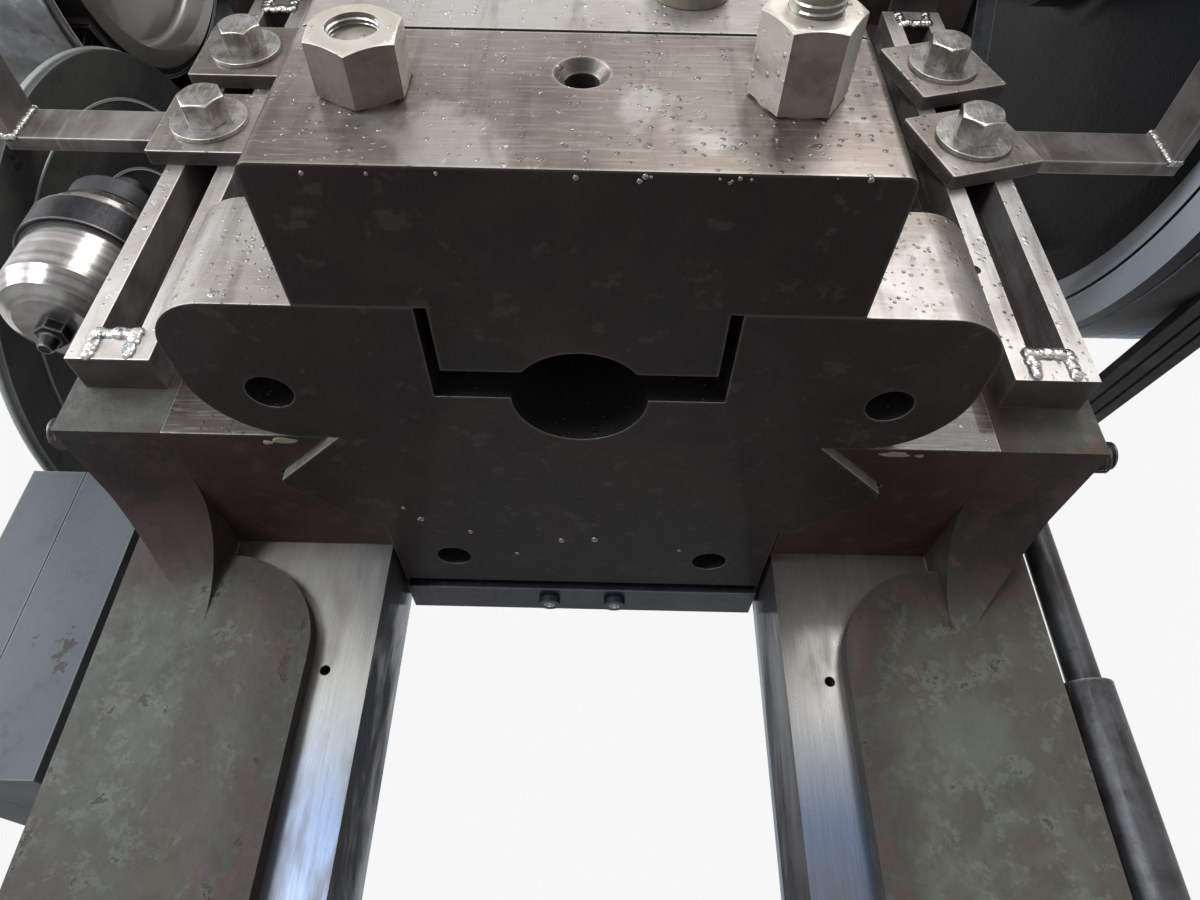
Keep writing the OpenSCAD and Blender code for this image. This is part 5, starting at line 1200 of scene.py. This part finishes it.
class PRESS_OT_fittings(bpy.types.Operator):
    """Motor screws, washers, springs, reservoir fittings, hub plugs, treadle welds and paint flakes"""

    bl_idname = "press.fittings"
    bl_label = "Fittings"

    def execute(self, context):
        dark, brass = bpy.data.materials["black_screws"], bpy.data.materials["brass"]
        low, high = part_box("motor")
        y, z = 0.52, 1.56  # the motor's axis
        shape = bmesh.new()
        for spot in around(high.x - 0.008, 0.084, (45, 135, 225, 315), y, z):
            hexagon(shape, spot, (1, 0, 0), 0.013, 0.006)
        for spot in around(low.x + 0.032, 0.101, (30, 150, 270), y, z):
            rivet(shape, spot, (0, spot.y - y, spot.z - z), 0.004)
        for x in (low.x + 0.074, low.x + 0.146):
            for side in (z - 0.040, z + 0.040):
                rivet(shape, (x, high.y, side), (0, 1, 0), 0.0038)
        finished("motor_screws", shape, dark, STEEP)

        wall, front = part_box("gib_bolts")[1].x - 0.010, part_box("bearing_cap_right")[0].y + 0.060
        gib_foot, gib_length = 1.197, 0.4
        shape = bmesh.new()
        for sign in LEFT_RIGHT:
            for share in (0.15, 0.5, 0.85):
                spot = (sign * wall, CRANK_Y + 0.101, gib_foot + share * gib_length)
                button(shape, spot, (sign, 0, 0), 0.0165, 0.0016, 0.0160, 0.0020, 32)
        for sign in LEFT_RIGHT:
            for x in (0.148, 0.264):
                for z in (CRANK_Z - 0.135, CRANK_Z + 0.135):
                    button(shape, (sign * x, front, z), (0, -1, 0), 0.0235, 0.0016, 0.0228, 0.0020, 32)
        finished("washers", shape, dark, STEEP)

        shape = bmesh.new()
        low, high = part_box("brake_band")
        middle = (low + high) / 2
        coil(shape, (middle.x, CRANK_Y - 0.088, low.z + 0.0127), (0, 1, 0), 0.0110, 0.0016, 0.0036, 3)
        finished("brake_spring", shape, bpy.data.materials["bright_screws"], ROUND)

        low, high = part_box("trip_spring")
        middle, wire, turns = (low + high) / 2, 0.0016, 8
        radius, length = (high.x - low.x) / 2 - wire, high.z - low.z - 2 * wire
        shape = bmesh.new()
        coil(shape, (middle.x, middle.y, low.z + wire), (0, 0, 1), radius, wire, length / turns, turns)
        spring = finished("rod_spring", shape, dark, ROUND, stands_for=["trip_spring"])
        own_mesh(spring)

        low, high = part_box("oil_reservoir")
        middle, down = (low + high) / 2, (0, 0, -1)
        shape = bmesh.new()
        hexagon(shape, (middle.x, middle.y, low.z + 0.0005), down, 0.017, 0.009)
        button(shape, (middle.x, middle.y, low.z - 0.008), down, 0.0055, 0.006, 0.0040, 0.009, 20)
        rivet(shape, (middle.x, low.y + 0.0005, low.z + 0.060), (0, -1, 0), 0.006)
        finished("reservoir_fittings", shape, dark, STEEP)

        shape = bmesh.new()
        for spot in around(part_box("shaft_end_nut")[0].x + 0.0139, 0.058, (30, 150, 270)):
            button(shape, spot, (1, 0, 0), 0.006, 0.0045, 0.0054, 0.005)
        finished("end_washer_screws", shape, dark, STEEP, "crank")
        shape = bmesh.new()
        for spot in around(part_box("flywheel")[1].x - 0.0003, 0.074, (-70, 110)):
            hexagon(shape, spot, (1, 0, 0), 0.012, 0.007)
        finished("hub_plugs", shape, brass, STEEP, "flywheel")

        metal, radius = bpy.data.materials["weld_metal"], context.scene.press_sizes.bead * 0.8
        under = 0.1755
        shape = bmesh.new()
        for sign in LEFT_RIGHT:
            for x in (0.121, 0.139):
                bead(shape, (sign * x, -0.375, under), (sign * x, -0.455, under), radius, (0, 0, -1))
        finished("treadle_welds", shape, metal, ROUND, body_of("treadle"))

        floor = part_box("gib_right")[0]
        shape = bmesh.new()
        for index, (x, y, long, wide) in enumerate((
            (-0.154, 0.004, 0.008, 0.0030), (0.163, 0.004, 0.010, 0.0026), (-0.163, 0.006, 0.003, 0.0020),
            (0.176, 0.005, 0.003, 0.0016),
        )):
            flake(shape, (x, floor.y + y, floor.z + 0.0001), (long, wide), 0.0007, index)
        pale = enamel("paint_scale", "968e7a", "6c6254", gloss=0.6, orange=0.0004, dirty=0.6, coat=0)
        finished("paint_flakes", shape, pale, FLAKED)
        return {"FINISHED"}


class PRESS_PT_panel(bpy.types.Panel):
    """Lists the press's finishing steps and values"""

    bl_idname = "PRESS_PT_panel"
    bl_label = "Stamping press"
    bl_space_type = "VIEW_3D"
    bl_region_type = "UI"
    bl_category = "Press"

    def draw(self, context):
        for step in STEPS:
            self.layout.operator(step.bl_idname)
        for name in GROUPS:
            group = getattr(context.scene, name)
            for key in group.__annotations__:
                self.layout.prop(group, key)


STEPS = [
    PRESS_OT_stage,
    PRESS_OT_frame_finish,
    PRESS_OT_ram_finish,
    PRESS_OT_drive_finish,
    PRESS_OT_fittings_finish,
    PRESS_OT_welds,
    PRESS_OT_threads,
    PRESS_OT_oil_drops,
    PRESS_OT_fasteners,
    PRESS_OT_sheet_work,
    PRESS_OT_fittings,
]
GROUPS = {"press_colours": PressColours, "press_sizes": PressSizes, "press_stage": StageValues}


def register():
    """Adds the values to the scene's properties, and the steps and the panel."""
    for name, group in GROUPS.items():
        bpy.utils.register_class(group)
        setattr(bpy.types.Scene, name, bpy.props.PointerProperty(type=group))
    for step in [*STEPS, PRESS_PT_panel]:
        bpy.utils.register_class(step)


def unregister():
    """Takes everything away that register adds."""
    for step in [PRESS_PT_panel, *reversed(STEPS)]:
        bpy.utils.unregister_class(step)
    for name, group in GROUPS.items():
        delattr(bpy.types.Scene, name)
        bpy.utils.unregister_class(group)


def main():
    """Runs every step in order."""
    random.seed(SEED)
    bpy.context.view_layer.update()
    register()
    for step in STEPS:
        group, call = step.bl_idname.split(".")
        getattr(getattr(bpy.ops, group), call)()


if __name__ == "__main__":
    main()
